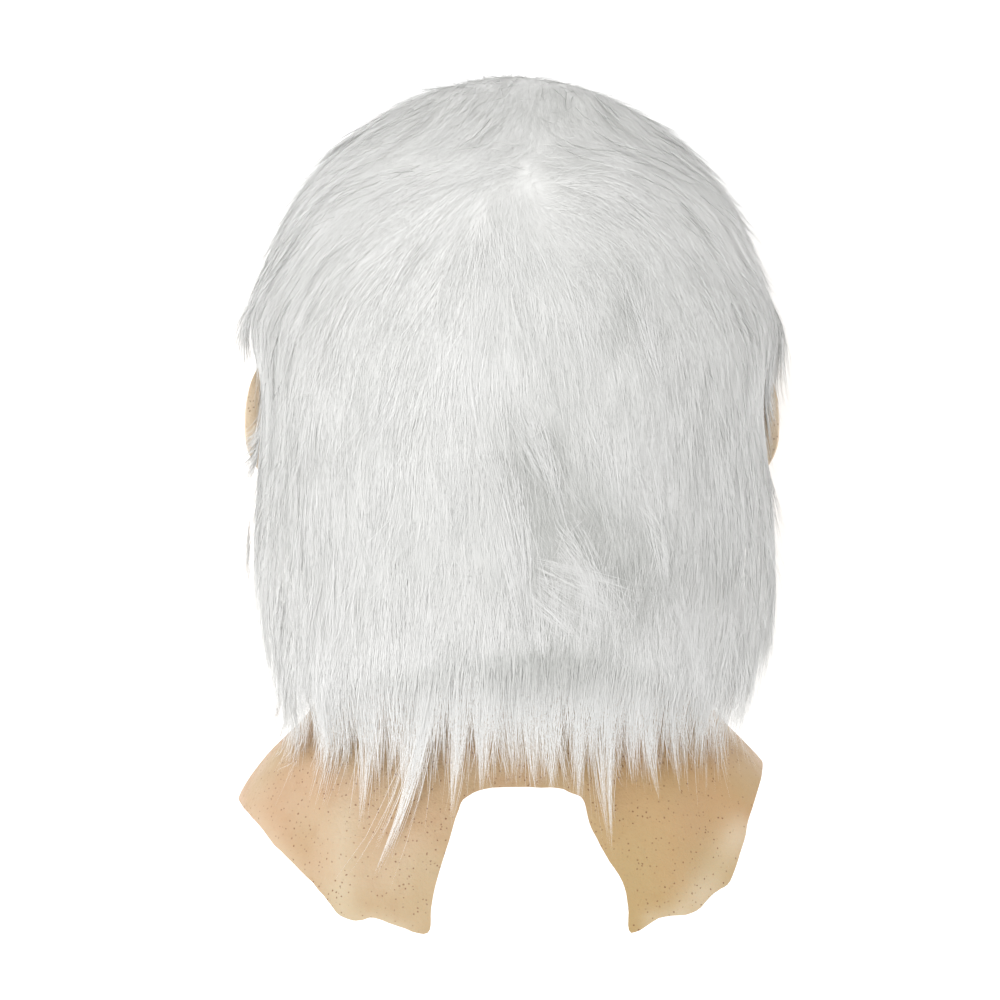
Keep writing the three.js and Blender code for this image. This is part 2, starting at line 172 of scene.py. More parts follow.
class Rings:
    """A head of superellipse rings that pass through stations down its height."""

    centre_z: float = 5.0
    power: float = 2.25
    samples: int = 4000
    # What size gives for places above the top.
    far_outside: float = 9.0
    # Between what distances the surface is looked for, and how often the span is halved.
    nearest: float = 20.0
    farthest: float = 260.0
    halvings: int = 22

    def __init__(self, stations: list[tuple[float, float, float, float]]) -> None:
        """Draws a smooth line through the stations.

        Args:
            stations: Height, half width, reach to the front and reach to the back, from the top down.
        """
        knots = np.array(stations, float)
        before = 2 * knots[0] - knots[1]
        before[0] = knots[1][0]
        padded = np.vstack([before, knots, knots[-1]])
        index = np.linspace(0, len(knots) - 1, self.samples)
        whole = np.minimum(index.astype(int), len(knots) - 2)
        part = (index - whole)[:, None]
        a, b, c, d = (padded[whole + step] for step in range(4))
        slope_in, slope_out, rise = (c - a) / 2, (d - b) / 2, c - b
        bend = 3 * rise - 2 * slope_in - slope_out + part * (slope_in + slope_out - 2 * rise)
        self.top = knots[0][0]
        self.table = (b + part * (slope_in + part * bend))[::-1]

    def ring(self, y: Array) -> tuple[Array, Array, Array]:
        """Half width, and depth to the front and to the back of the ring's centre, at a height."""
        width, front, back = (np.interp(y, self.table[:, 0], self.table[:, k]) for k in (1, 2, 3))
        return width, front + self.centre_z, back - self.centre_z

    def point(self, y: Array, azimuth: Array) -> Array:
        """The surface at a height.

        Args:
            y: The heights.
            azimuth: How far each place is turned from the front, towards +x.

        Returns:
            The places.
        """
        width, front, back = self.ring(y)
        flat = np.sin(azimuth), -np.cos(azimuth)
        across, along = (np.sign(value) * np.abs(value) ** (2 / self.power) for value in flat)
        depth = np.where(along < 0, front, back)
        return np.stack([across * width, y + 0 * across, self.centre_z + along * depth], axis=-1)

    def size(self, places: Array) -> Array:
        """How large each place's own ring would be, against the surface's at that height.

        Args:
            places: Places, one to a row.

        Returns:
            Less than 1 for a place inside and more than 1 for one outside.
        """
        x, y, z = places.T
        width, front, back = self.ring(y)
        depth = np.maximum(np.where(z < self.centre_z, front, back), 1e-3)
        ratio = np.abs(x / np.maximum(width, 1e-3)) ** self.power
        ratio += np.abs((z - self.centre_z) / depth) ** self.power
        return np.where(y < self.top, ratio ** (1 / self.power), self.far_outside)

    def reach(self, start: Array, directions: Array) -> Array:
        """How far the surface lies from a point inside it, found by halving."""
        return self.crossing(start, directions, self.nearest, self.farthest, True)

    def crossing(self, start: Array, directions: Array, near: float, far: float, leaving: bool) -> Array:
        """How far straight lines run to the surface, found by halving.

        Args:
            start: Where the lines start.
            directions: Which way they run.
            near: The least distance it can be.
            far: The greatest distance it can be.
            leaving: Whether the lines start inside.

        Returns:
            One distance for each line.
        """
        low, high = np.full(len(directions), near), np.full(len(directions), far)
        for _ in range(self.halvings):
            middle = (low + high) / 2
            before = (self.size(start + directions * middle[:, None]) < 1) == leaving
            low, high = np.where(before, middle, low), np.where(before, high, middle)
        return low


def ball(grid: Array) -> bmesh.types.BMesh:
    """A sphere's mesh moulded on to a grid of places.

    Args:
        grid: Places by row and column. The first and last rows are poles, so all of each is one place.

    Returns:
        A closed mesh with its faces pointing out.
    """
    rows, columns = grid.shape[0] - 1, grid.shape[1]
    bm = bmesh.new()
    bmesh.ops.create_uvsphere(bm, u_segments=columns, v_segments=rows, radius=1)
    places = np.array([v.co for v in bm.verts])
    row = np.rint(np.arccos(np.clip(places[:, 2], -1, 1)) / math.pi * rows).astype(int)
    turn = np.arctan2(places[:, 1], places[:, 0]) / TAU * columns
    moulded = grid[row, np.rint(turn).astype(int) % columns]
    for vertex, place in zip(bm.verts, moulded):
        vertex.co = place
    bmesh.ops.recalc_face_normals(bm, faces=bm.faces)
    if bm.calc_volume(signed=True) < 0:
        bmesh.ops.reverse_faces(bm, faces=bm.faces)
    return bm


def piece(bm: bmesh.types.BMesh, name: str) -> bpy.types.Object:
    """Makes a bmesh a linked object.

    Args:
        bm: The mesh, which is used up.
        name: The object's and the mesh's name.

    Returns:
        The object.
    """
    mesh = bpy.data.meshes.new(name)
    bm.to_mesh(mesh)
    bm.free()
    made = bpy.data.objects.new(name, mesh)
    bpy.context.scene.collection.objects.link(made)
    return made


def prism(outline: Array, from_z: float, to_z: float) -> bmesh.types.BMesh:
    """A flat outline pushed along z.

    Args:
        outline: The outline's corners, as x and y.
        from_z: Where the prism starts.
        to_z: Where it ends.

    Returns:
        A closed mesh with its faces pointing out.
    """
    bm = bmesh.new()
    face = bm.faces.new([bm.verts.new((x, y, from_z)) for x, y in outline])
    pushed = bmesh.ops.extrude_face_region(bm, geom=[face])["geom"]
    moved = [part for part in pushed if isinstance(part, bmesh.types.BMVert)]
    bmesh.ops.translate(bm, verts=moved, vec=(0, 0, to_z - from_z))
    bmesh.ops.recalc_face_normals(bm, faces=bm.faces)
    return bm


def places_of(mesh: bpy.types.Mesh) -> Array:
    """Reads a mesh's vertices.

    Args:
        mesh: The mesh.

    Returns:
        Their places, one to a row.
    """
    flat = np.empty(3 * len(mesh.vertices), np.float32)
    mesh.vertices.foreach_get("co", flat)
    return flat.reshape(-1, 3).astype(float)


def move_places(mesh: bpy.types.Mesh, places: Array) -> None:
    """Puts a mesh's vertices at new places."""
    mesh.vertices.foreach_set("co", places.astype(np.float32).ravel())
    mesh.update()


class Cut(Enum):
    """What a tool does to a body."""

    JOIN = "UNION"
    REMOVE = "DIFFERENCE"


def carved(body: bpy.types.Object, tools: list[tuple[Cut, bpy.types.Object]]) -> None:
    """Joins tools to a body or cuts it with them, in order, and removes them.

    Args:
        body: The piece that is worked on.
        tools: What to do, and with which object.
    """
    for how, tool in tools:
        step = body.modifiers.new(how.name.lower(), "BOOLEAN")
        step.operation, step.solver, step.object = how.value, "MANIFOLD", tool
    seen = body.evaluated_get(bpy.context.evaluated_depsgraph_get())
    old, body.data = body.data, bpy.data.meshes.new_from_object(seen)
    body.modifiers.clear()
    bpy.data.meshes.remove(old)
    for _, tool in tools:
        bpy.data.meshes.remove(tool.data)


class Nodes:
    """A short way to write a node tree."""

    def __init__(self, tree: bpy.types.NodeTree) -> None:
        """Starts on a tree."""
        self.tree = tree

    def add(self, kind: str, inputs: dict | None = None, **settings: object) -> bpy.types.Node:
        """Adds a node.

        Args:
            kind: The node's type, without ShaderNode.
            inputs: A value or an output for each named or numbered input.
            settings: The node's own properties.

        Returns:
            The node.
        """
        node = self.tree.nodes.new("ShaderNode" + kind)
        for name, value in settings.items():
            setattr(node, name, value)
        for name, value in (inputs or {}).items():
            if isinstance(value, bpy.types.NodeSocket):
                self.tree.links.new(value, node.inputs[name])
            else:
                node.inputs[name].default_value = value
        return node

    def mapped(self, value: object, low: float, high: float, to: Pair = (0, 1)) -> bpy.types.NodeSocket:
        """Turns a value's range into another, with smooth ends.

        Args:
            value: A number or an output.
            low: What becomes the new range's first end.
            high: What becomes its second end.
            to: The new range.

        Returns:
            The output.
        """
        inputs = {"Value": value, "From Min": low, "From Max": high, "To Min": to[0], "To Max": to[1]}
        return self.add("MapRange", inputs, interpolation_type="SMOOTHSTEP").outputs[0]

    def blend(self, share: object, first: object, second: object, how: str = "MIX") -> bpy.types.NodeSocket:
        """Mixes two colours.

        Args:
            share: How much of the second there is.
            first: The colour at 0.
            second: The colour at 1.
            how: The way of mixing.

        Returns:
            The output.
        """
        inputs = {0: share, 6: first, 7: second}
        return self.add("Mix", inputs, data_type="RGBA", blend_type=how).outputs[2]

    def times(self, first: object, second: object) -> bpy.types.NodeSocket:
        """Two values multiplied."""
        return self.add("Math", {0: first, 1: second}, operation="MULTIPLY").outputs[0]


def blank(name: str) -> tuple[bpy.types.Material, Nodes, bpy.types.Node]:
    """Starts a material.

    Args:
        name: Its name.

    Returns:
        The material, its node tree and its shader.
    """
    made = bpy.data.materials.new(name)
    made.use_nodes = True
    return made, Nodes(made.node_tree), made.node_tree.nodes["Principled BSDF"]


def mottle_group() -> bpy.types.NodeTree:
    """Makes the cloudy colour that both latex finishes share.

    Returns:
        A node group that mixes three colours at two sizes, over Object coordinates.
    """
    group = bpy.data.node_groups.new("mottle", "ShaderNodeTree")
    for name, value in (("Large", 22.0), ("Small", 110.0)):
        socket = group.interface.new_socket(name, in_out="INPUT", socket_type="NodeSocketFloat")
        socket.default_value = value
    for name in ("First", "Second", "Third"):
        group.interface.new_socket(name, in_out="INPUT", socket_type="NodeSocketColor")
    group.interface.new_socket("Color", in_out="OUTPUT", socket_type="NodeSocketColor")
    nodes = Nodes(group)
    given = group.nodes.new("NodeGroupInput").outputs
    here = nodes.add("TexCoord").outputs["Object"]
    large = nodes.add("TexNoise", {"Vector": here, "Scale": given["Large"], "Detail": 3.0}).outputs[0]
    small = nodes.add("TexNoise", {"Vector": here, "Scale": given["Small"], "Detail": 4.0}).outputs[0]
    base = nodes.blend(nodes.mapped(large, 0.38, 0.62), given["First"], given["Second"])
    full = nodes.blend(nodes.mapped(small, 0.5, 0.75, (0, 0.6)), base, given["Third"])
    group.links.new(full, group.nodes.new("NodeGroupOutput").inputs["Color"])
    return group


@dataclass(frozen=True)
class Latex:
    """Moulded latex: mottled tan with brown specks, painted by the mesh's own paint attribute.

    Light, deep and blotch are the cloudy colours. Specks is how strongly the specks show, grain how deep the
    bumps are, and cover how much of the mesh's paint is used.
    """

    name: str
    light: Triple
    deep: Triple
    blotch: Triple
    speck: Triple
    specks: float
    roughness: Pair
    grain: float
    cover: float = 1.0
    # How many features of each kind there are to a metre, and how far the specks are shaken out of line.
    speck_scale: float = 560.0
    crowd_scale: float = 32.0
    wear_scale: float = 60.0
    pore_scale: float = 900.0
    fold_scale: float = 230.0
    shake: float = 0.0009
    relief_depth: float = 0.0006

    def material(self, mottle: bpy.types.NodeTree) -> bpy.types.Material:
        """Builds the material.

        Args:
            mottle: The shared group of cloudy colour.

        Returns:
            The finished material.
        """
        made, nodes, shader = blank(self.name)
        colours = {"First": (*self.light, 1), "Second": (*self.deep, 1), "Third": (*self.blotch, 1)}
        cloud = nodes.add("Group", node_tree=mottle)
        for name, value in colours.items():
            cloud.inputs[name].default_value = value
        here = nodes.add("TexCoord").outputs["Object"]
        paint = nodes.add("Attribute", attribute_name="paint")
        share = nodes.times(paint.outputs["Alpha"], self.cover)
        painted = nodes.blend(share, cloud.outputs[0], paint.outputs["Color"])
        bent = nodes.add("TexNoise", {"Vector": here, "Scale": self.pore_scale}).outputs["Color"]
        shaken = nodes.add("MixRGB", {0: self.shake, 1: here, 2: bent}, blend_type="ADD").outputs[0]
        dots = nodes.add("TexVoronoi", {"Vector": shaken, "Scale": self.speck_scale})
        chosen = nodes.mapped(nodes.add("SeparateColor", {0: dots.outputs["Color"]}).outputs[0], 0.15, 0.7)
        crowd = nodes.add("TexNoise", {"Vector": here, "Scale": self.crowd_scale, "Detail": 2.0}).outputs[0]
        dot = nodes.mapped(dots.outputs["Distance"], 0.12, 0.27, (self.specks, 0))
        spotted = nodes.times(nodes.times(dot, chosen), nodes.mapped(crowd, 0.3, 0.55, (0.55, 1)))
        coloured = nodes.blend(spotted, painted, (*self.speck, 1))
        made.node_tree.links.new(coloured, shader.inputs["Base Color"])
        wear = nodes.add("TexNoise", {"Vector": here, "Scale": self.wear_scale, "Detail": 3.0}).outputs[0]
        made.node_tree.links.new(nodes.mapped(wear, 0.3, 0.7, self.roughness), shader.inputs["Roughness"])
        pores = nodes.add("TexNoise", {"Vector": here, "Scale": self.pore_scale, "Detail": 3.0}).outputs[0]
        creased = {"Vector": here, "Scale": self.fold_scale, "Detail": 4.0, "Distortion": 0.6}
        folds = nodes.add("TexNoise", creased)
        rough = nodes.add("Math", {0: pores, 1: nodes.times(folds.outputs[0], 2.2)}, operation="ADD")
        height = {"Height": rough.outputs[0], "Strength": self.grain, "Distance": self.relief_depth}
        relief = nodes.add("Bump", height)
        made.node_tree.links.new(relief.outputs[0], shader.inputs["Normal"])
        shader.inputs["Specular IOR Level"].default_value = 0.4
        shader.inputs["Subsurface Weight"].default_value = 0.12
        shader.inputs["Subsurface Radius"].default_value = (0.004, 0.002, 0.001)
        return made


PAINTED = Latex(
    name="painted_latex",
    light=(0.45, 0.355, 0.225),
    deep=(0.41, 0.305, 0.17),
    blotch=(0.38, 0.265, 0.145),
    speck=(0.17, 0.075, 0.03),
    specks=0.9,
    roughness=(0.42, 0.62),
    grain=0.35,
)
BARE = Latex(
    name="bare_latex",
    light=(0.54, 0.44, 0.31),
    deep=(0.5, 0.39, 0.26),
    blotch=(0.46, 0.34, 0.21),
    speck=(0.34, 0.24, 0.14),
    specks=0.2,
    roughness=(0.5, 0.7),
    grain=0.25,
    cover=0.0,
)


@dataclass(frozen=True)
class Fur:
    """White pile: each strand has its own brightness, and is greyer at the root as painted shade deep in the
    pile.
    """

    name: str = "white_imitation_fur"
    # The root colour is painted shade deep in the pile.
    root: Triple = (0.74, 0.74, 0.725)
    tip: Triple = (0.87, 0.87, 0.86)
    dull: Triple = (0.5, 0.505, 0.485)

    def material(self) -> bpy.types.Material:
        """Builds the material, which reads the attributes strand and along.

        Returns:
            The finished material.
        """
        made, nodes, shader = blank(self.name)
        strand = nodes.add("Attribute", attribute_name="strand").outputs["Fac"]
        along = nodes.add("Attribute", attribute_name="along").outputs["Fac"]
        # Each strand's brightness mixes dull to tip: random tone with painted shade and painted light.
        bright = nodes.blend(strand, (*self.dull, 1), (*self.tip, 1))
        # Towards the root each strand goes to the root colour: painted shade deep in the pile.
        coloured = nodes.blend(nodes.mapped(along, 0, 0.75), (*self.root, 1), bright)
        made.node_tree.links.new(coloured, shader.inputs["Base Color"])
        made.node_tree.links.new(nodes.mapped(strand, 0, 1, (0.62, 0.42)), shader.inputs["Roughness"])
        shader.inputs["Specular IOR Level"].default_value = 0.35
        shader.inputs["Sheen Weight"].default_value = 0.25
        shader.inputs["Sheen Roughness"].default_value = 0.4
        return made


@dataclass(frozen=True)
class Face:
    """A calm old man's face, as depth in front of the plain head over x and y."""

    eye: Pair = (33, 218)
    brow_y: float = 237
    nose_root: float = 224
    nose_tip: float = 180
    nose_base: float = 167
    nose_reach: float = 27
    mouth_y: float = 150
    # Each crease on one side: where it starts and ends, its depth and its width.
    creases: tuple = (
        ((0, 250), (46, 252), 1.5, 1.9), ((0, 260), (52, 261), 1.7, 2.0), ((4, 270), (48, 270), 1.3, 1.9),
        ((5, 230), (7, 247), 1.3, 1.6), ((51, 221), (64, 229), 1.0, 1.3), ((52, 217), (66, 217), 1.1, 1.3),
        ((51, 213), (63, 206), 1.0, 1.3), ((18, 209), (46, 207), 1.2, 1.6), ((20, 203), (40, 200), 0.8, 1.6),
        ((20, 183), (36, 148), 2.6, 2.6), ((28, 144), (33, 120), 1.8, 2.2), ((46, 176), (52, 150), 1.1, 2.2),
        ((0, 95), (60, 98), 1.6, 2.0), ((4, 84), (66, 82), 1.4, 2.2), ((10, 138), (20, 134), 0.9, 1.8),
        ((19, 180), (20, 170), 1.6, 1.8), ((8, 156), (9, 163), 0.5, 0.9), ((14, 156), (16, 162), 0.5, 0.9),
    )

    def nose(self, side: Array, y: Array) -> Array:
        """The nose with its wings.

        Args:
            side: How far places lie from the middle, to either side.
            y: Places up the head.

        Returns:
            The depth at each place.
        """
        down = np.clip((self.nose_root - y) / (self.nose_root - self.nose_tip), 0, 1)
        bridge = (3 + (self.nose_reach - 3) * down**1.35) * ease(self.nose_root + 8 - y, 0, 12)
        under = ease(y, self.nose_base - 1, self.nose_base + 9)
        shape = bridge * under * np.exp(-((side / (7 + 7 * down)) ** 2.4))
        wings = 9 * bump(side, y, (15, self.nose_tip - 5), (6, 7))
        return shape + wings + 1.2 * bump(side, y, (0, 181), (7, 7))

    def brow(self, side: Array, y: Array) -> Array:
        """The brow ridge.

        Args:
            side: How far places lie from the middle, to either side.
            y: Places up the head.

        Returns:
            The depth at each place.
        """
        line = self.brow_y + 3.5 * np.sin(math.pi * np.clip(side - 8, 0, 50) / 62)
        return (4.5 * bell(y - line, 10) + 1.8 * bell(y - line, 5)) * (1 - ease(side, 34, 66))

    def eyes(self, side: Array, y: Array) -> Array:
        """Sockets, lids round the openings, and the bags below.

        Args:
            side: How far places lie from the middle, to either side.
            y: Places up the head.

        Returns:
            The depth at each place.
        """
        x0, y0 = self.eye
        lids = 6.5 * bump(side, y, (x0, y0), (13, 7.5))
        opening = np.hypot((side - x0) / 16.5, (y - y0) / 7.2)
        rims = 1.1 * bell(opening - 1.08, 0.16)
        fold = 1.3 * bump(side, y + 0.02 * (side - x0) ** 2, (x0, y0 + 13), (17, 2.4))
        hood = -1.2 * bump(side, y + 0.018 * (side - x0) ** 2, (x0, y0 + 10), (17, 1.5))
        bags = 2.6 * bump(side, y - 0.016 * (side - x0) ** 2, (x0, y0 - 14), (15, 3.6))
        return -9 * bump(side, y, (x0, y0 + 1), (16, 10)) + lids + rims + fold + hood + bags

    def mouth(self, side: Array, y: Array) -> Array:
        """The muzzle, lips and chin.

        Args:
            side: How far places lie from the middle, to either side.
            y: Places up the head.

        Returns:
            The depth at each place.
        """
        y0 = self.mouth_y
        muzzle = 4.5 * bump(side, y, (0, y0 + 4), (27, 20))
        upper = 3 * bell(y - y0 - 5 + 1.2 * bell(side, 4), 3.8) * bell(side, 20)
        lower = 3.4 * bump(side, y, (0, y0 - 5.5), (16, 4.6))
        corner = -2.5 * bump(side, y, (27, y0), (5, 5))
        groove = -1.1 * bump(side, y, (0, y0 + 13), (2.6, 5)) + 0.7 * bump(side, y, (4.5, y0 + 13), (2, 5))
        chin = 7 * bump(side, y, (0, 121), (17, 10)) - 3.5 * bump(side, y, (0, 136), (17, 5))
        return muzzle + upper + lower + corner + groove + chin

    def cheeks(self, side: Array, y: Array) -> Array:
        """Cheeks, jowls, temples and the fold beside the mouth.

        Args:
            side: How far places lie from the middle, to either side.
            y: Places up the head.

        Returns:
            The depth at each place.
        """
        line = 19 + 16 * ease(178 - y, 0, 34)
        along = ease(y, 138, 150) * (1 - ease(y, 172, 184))
        fold = along * 3.2 * bell(side - line - 6, 7)
        cheek = 4.5 * bump(side, y, (47, 197), (17, 12)) - 4 * bump(side, y, (54, 164), (14, 17))
        jowl = 3.5 * bump(side, y, (43, 130), (13, 13))
        cords = 2.2 * bump(side, y, (16, 84), (4, 16)) + 1.6 * bump(side, y, (34, 80), (5, 18))
        return fold + cheek + jowl + cords - 3 * bump(side, y, (66, 246), (12, 18))

    def depth(self, x: Array, y: Array) -> Array:
        """How far the face stands out.

        Args:
            x: Places across the head.
            y: Places up the head.

        Returns:
            The depth at each place.
        """
        side = np.abs(x)
        flat = np.stack([x, y, 0 * x], axis=-1).reshape(-1, 3)
        sway = (1.6 * noise(flat, 15, 3)).reshape(x.shape)
        lines = sum(deep * crease(side, y + sway, a, b, wide) for a, b, deep, wide in self.creases)
        soft = (0.45 * noise(flat, 11, 4) + 0.2 * noise(flat, 4.5, 5)).reshape(x.shape)
        forms = self.nose(side, y) + self.brow(side, y) + self.eyes(side, y) + self.mouth(side, y)
        return forms + self.cheeks(side, y) - lines + soft


@dataclass
class LatexHead:
    """The moulded shell: skull, face, ears, neck and the two neck flaps."""

    frame: HeadFrame
    skin: Rings
    face: Face = field(default_factory=Face)
    # The wall, what it is thicker by for its smoothed inside, and the skull's middle.
    wall: float = 1.6
    spare: float = 0.3
    middle: Triple = (0, 200, 5)
    columns: int = 216
    rows: int = 164
    # How much closer the columns lie in front, and how often the inside's relief is shrunk and smoothed.
    crowding: float = 0.5
    shrunk: int = 3
    smoothed: int = 2
    ear_base: Triple = (82, 206, -9)
    ear_swing: float = math.radians(40)
    ear_lean: float = math.radians(-8)
    ear_length: float = 38
    ear_half_height: float = 32
    nostril: Triple = (6.5, 171, 99)
    nostril_radii: Pair = (3.2, 3)
    nostril_depth: float = 8
    nostril_points: int = 20
    lens_points: int = 24
    # Each opening's half width, and how far it reaches up and down.
    eye_opening: Triple = (15, 6, 4.5)
    mouth_opening: Triple = (24, 2.2, 2.2)
    # Where the openings' cutters start and end along z, and how far the rims' cutters reach past the neck.
    face_slab: Pair = (-130, -50)
    past_neck: float = 160
    # Where the closed neck ends before the rims are cut, outside and inside.
    neck_ends: Pair = (-10, -20)
    # The least angle that stays a sharp edge.
    sharp: float = math.radians(50)
    # The trimmed rim from behind: left side, left flap, arch, right flap and right side.
    back_rim: tuple = (
        (-112, 56), (-107, 52), (-101.5, 47), (-89, 35), (-76, 24), (-67.5, 14.5), (-61, 12.8), (-54, 14),
        (-44, 10.6), (-33, 8.5), (-31.6, 18), (-29.6, 28), (-23.6, 47.6), (-21.4, 55), (-18.2, 60.4),
        (-8, 64),
        (15, 64), (22, 62.6), (27.5, 59.5), (30, 51), (34.2, 41.8), (42.8, 27.8), (45, 18), (46, 8.5),
        (57, 13.4), (70, 15), (79, 22), (86, 27), (92, 42), (93.5, 49), (97, 58), (102, 71),
    )
    front_rim: tuple = ((102, 71), (80, 68), (60, 66), (30, 63), (0, 62), (-30, 60), (-60, 58), (-112, 56))
    # How far down the rows each height comes, closest together over the face.
    row_marks: tuple = (
        (0, 334), (0.01, 333.2), (0.03, 329), (0.06, 318), (0.09, 303), (0.14, 278), (0.79, 100), (1, 0),
    )
    # How far the ear's back lies behind its rim and how much further in the middle.
    ear_back: Pair = (1.5, 2.5)
    # The ear's rows, how many of them are its front, and its columns.
    ear_mesh: tuple[int, int, int] = (44, 36, 72)

    def heights(self) -> Array:
        """The rows' heights."""
        shares, marks = zip(*self.row_marks)
        return np.interp(np.linspace(0, 1, self.rows + 1), shares, marks)

    def grids(self) -> tuple[Array, Array]:
        """Works out the shell.

        Returns:
            The outer and the inner places, by row and column.
        """
        turn = np.arange(self.columns) / self.columns * TAU
        azimuth, y = np.meshgrid(turn - self.crowding * np.sin(turn), self.heights())
        plain = self.skin.point(y, azimuth)
        facing = ease(np.cos(azimuth), 0.1, 0.6)
        relief = facing * self.face.depth(plain[..., 0], y)
        outward = unit((plain - [0, 0, self.skin.centre_z]) * [1, 0, 1])
        plain += outward * ((1 - facing) * self.slack(plain))[..., None]
        outer = plain - relief[..., None] * [0, 0, 1]
        inner_depth = relief.copy()
        for _ in range(self.shrunk):
            inner_depth = self.around(inner_depth, np.minimum.reduce)
        for _ in range(self.smoothed):
            inner_depth = self.around(inner_depth, lambda near: np.mean(near, axis=0))
        across = np.roll(plain, -1, 1) - np.roll(plain, 1, 1)
        down = np.gradient(plain, axis=0)
        normal = unit(np.cross(across, down))
        normal *= np.sign(np.sum(normal * (plain - self.middle)))
        inner = plain - normal * (self.wall + self.spare)
        inner[..., 2] -= inner_depth
        inner[0] = plain[0] - [0, self.wall, 0]
        outer[-1], inner[-1] = ([0, end, self.skin.centre_z] for end in self.neck_ends)
        return self.frame.pressed(outer, 0), self.frame.pressed(inner, self.wall)[::2, ::2]

    @staticmethod
    def around(values: Array, how: Callable[[list[Array]], Array]) -> Array:
        """Each value worked out from itself and its four neighbours.

        Args:
            values: Values by row and column, where the columns run round.
            how: What makes one value of five.

        Returns:
            The new values.
        """
        up, below = np.roll(values, 1, 0), np.roll(values, -1, 0)
        up[0], below[-1] = values[0], values[-1]
        return how([values, np.roll(values, 1, 1), np.roll(values, -1, 1), up, below])

    def slack(self, points: Array) -> Array:
        """How the soft neck and flaps hang off their plain shape.

        Args:
            points: Places on the shell.

        Returns:
            How far each is moved outwards.
        """
        x, y, z = points[..., 0], points[..., 1], points[..., 2]
        flat = points.reshape(-1, 3)
        waves = (1.3 * noise(flat, 34, 11) + 0.5 * noise(flat, 13, 12)).reshape(x.shape)
        fold = 2.6 * crease(x, y, (-74, 78), (-62, 4), 7) - 1.6 * crease(x, y, (-88, 70), (-82, 20), 8)
        right = 1.8 * crease(x, y, (60, 74), (66, 14), 9) - 1.2 * crease(x, y, (82, 70), (78, 20), 7)
        return ease(110 - y, 0, 40) * (waves + (fold + right) * (z > 20))

    def ear(self, side: int) -> bmesh.types.BMesh:
        """One ear as a solid, with its rim, inner fold, bowl and lobe.

        Args:
            side: 1 for the right ear and -1 for the left one.

        Returns:
            A closed mesh.
        """
        rows, front_rows, columns = self.ear_mesh
        row, turn = np.meshgrid(np.arange(rows + 1), np.arange(columns) / columns * TAU, indexing="ij")
        front = row <= front_rows
        share = np.where(front, row / front_rows, (rows - row) / (rows - front_rows))
        below, lobe = ease(-np.sin(turn), 0, 1), ease(-np.sin(turn), 0.45, 0.9)
        x = self.ear_length / 2 * (1 + share * ((1 - 0.3 * below) * np.cos(turn) - 0.28 * below))
        y = self.ear_half_height * share * np.sin(turn)
        rim = 4.2 * bell(share - 0.9, 0.11) * (1 - lobe)
        fold = 2.6 * bell(share - 0.56, 0.12) * ease(np.cos(turn), -0.35, 0.3) * (1 - lobe)
        fork = 1.4 * crease(x, y, (17, 12), (26, 22), 3.2) - 1.5 * bump(x, y, (20, 19), (4, 4))
        bowl = -6.5 * bump(x, y, (15, -3), (8, 11))
        tragus = 4 * bump(x, y, (3, -5), (4, 6)) + 1.6 * bump(x, y, (9, -14), (4, 3))
        behind = -self.ear_back[0] - self.ear_back[1] * (1 - share)
        z = np.where(front, rim + fold + fork + bowl + tragus + 1.6 * lobe, behind)
        lean = math.cos(self.ear_lean), math.sin(self.ear_lean)
        across, up = x * lean[0] - y * lean[1], x * lean[1] + y * lean[0]
        out, back = math.sin(self.ear_swing), math.cos(self.ear_swing)
        base = self.ear_base
        places = [side * (base[0] + across * out + z * back), base[1] + up, base[2] + across * back - z * out]
        return ball(np.stack(places, axis=-1))

    def cutters(self) -> list[bpy.types.Object]:
        """Makes the tools that trim the shell: below the rims, the eyes, the mouth and the nostrils.

        Returns:
            One object for each tool.
        """
        tools, past, middle = [], self.past_neck, self.skin.centre_z
        for rim, near, far in ((self.back_rim, middle, past), (self.front_rim, -past, middle + 0.01)):
            ends = [(math.copysign(past, rim[k][0]), rim[k][1]) for k in (0, -1)]
            floor = [(ends[1][0], -past), (ends[0][0], -past)]
            outline = [ends[0], *self.trimmed(rim), ends[1], *floor]
            tools.append(piece(prism(outline, near, far), "rim_cut"))
        lens = np.linspace(-1, 1, self.lens_points + 1)[:-1]
        x, y = self.face.eye
        for centre, (half, upper, lower) in (
            ((x, y), self.eye_opening),
            ((-x, y), self.eye_opening),
            ((0, self.face.mouth_y), self.mouth_opening),
        ):
            top = [(centre[0] + half * s, centre[1] + upper * (1 - s * s)) for s in -lens]
            low = [(centre[0] + half * s, centre[1] - lower * (1 - s * s)) for s in lens]
            tools.append(piece(prism([*top, *low], *self.face_slab), "opening_cut"))
        for side in (1, -1):
            turn = np.arange(self.nostril_points) / self.nostril_points * TAU
            wide, high = self.nostril_radii
            ring = [(side * self.nostril[0] + wide * math.cos(a), high * math.sin(a)) for a in turn]
            bore = prism(ring, -self.nostril_depth, self.nostril_depth)
            bmesh.ops.rotate(bore, verts=bore.verts, matrix=Matrix.Rotation(math.pi / 2, 3, "X"))
            bmesh.ops.translate(bore, verts=bore.verts, vec=(0, self.nostril[1], -self.nostril[2]))
            tools.append(piece(bore, "nostril_cut"))
        return tools

    @staticmethod
    def trimmed(rim: tuple) -> Array:
        """Draws a soft line with a hand-cut waver through a rim's points.

        Args:
            rim: The points.

        Returns:
            Those and more between them.
        """
        knots = np.array(rim, float)
        padded = np.vstack([2 * knots[0] - knots[1], knots, 2 * knots[-1] - knots[-2]])
        at = np.arange(0, len(knots) - 1, 0.2)
        whole, part = at.astype(int), (at % 1)[:, None]
        a, b, c, d = (padded[whole + step] for step in range(4))
        bend = 2 * a - 5 * b + 4 * c - d + part * (3 * b - a - 3 * c + d)
        line = b + 0.5 * part * (c - a + part * bend)
        flat = np.column_stack([line, 0 * at])
        waver = 0.45 * noise(flat, 5, 14) + 0.2 * noise(flat, 2, 15)
        return np.vstack([line + [0, 1] * waver[:, None], knots[-1]])

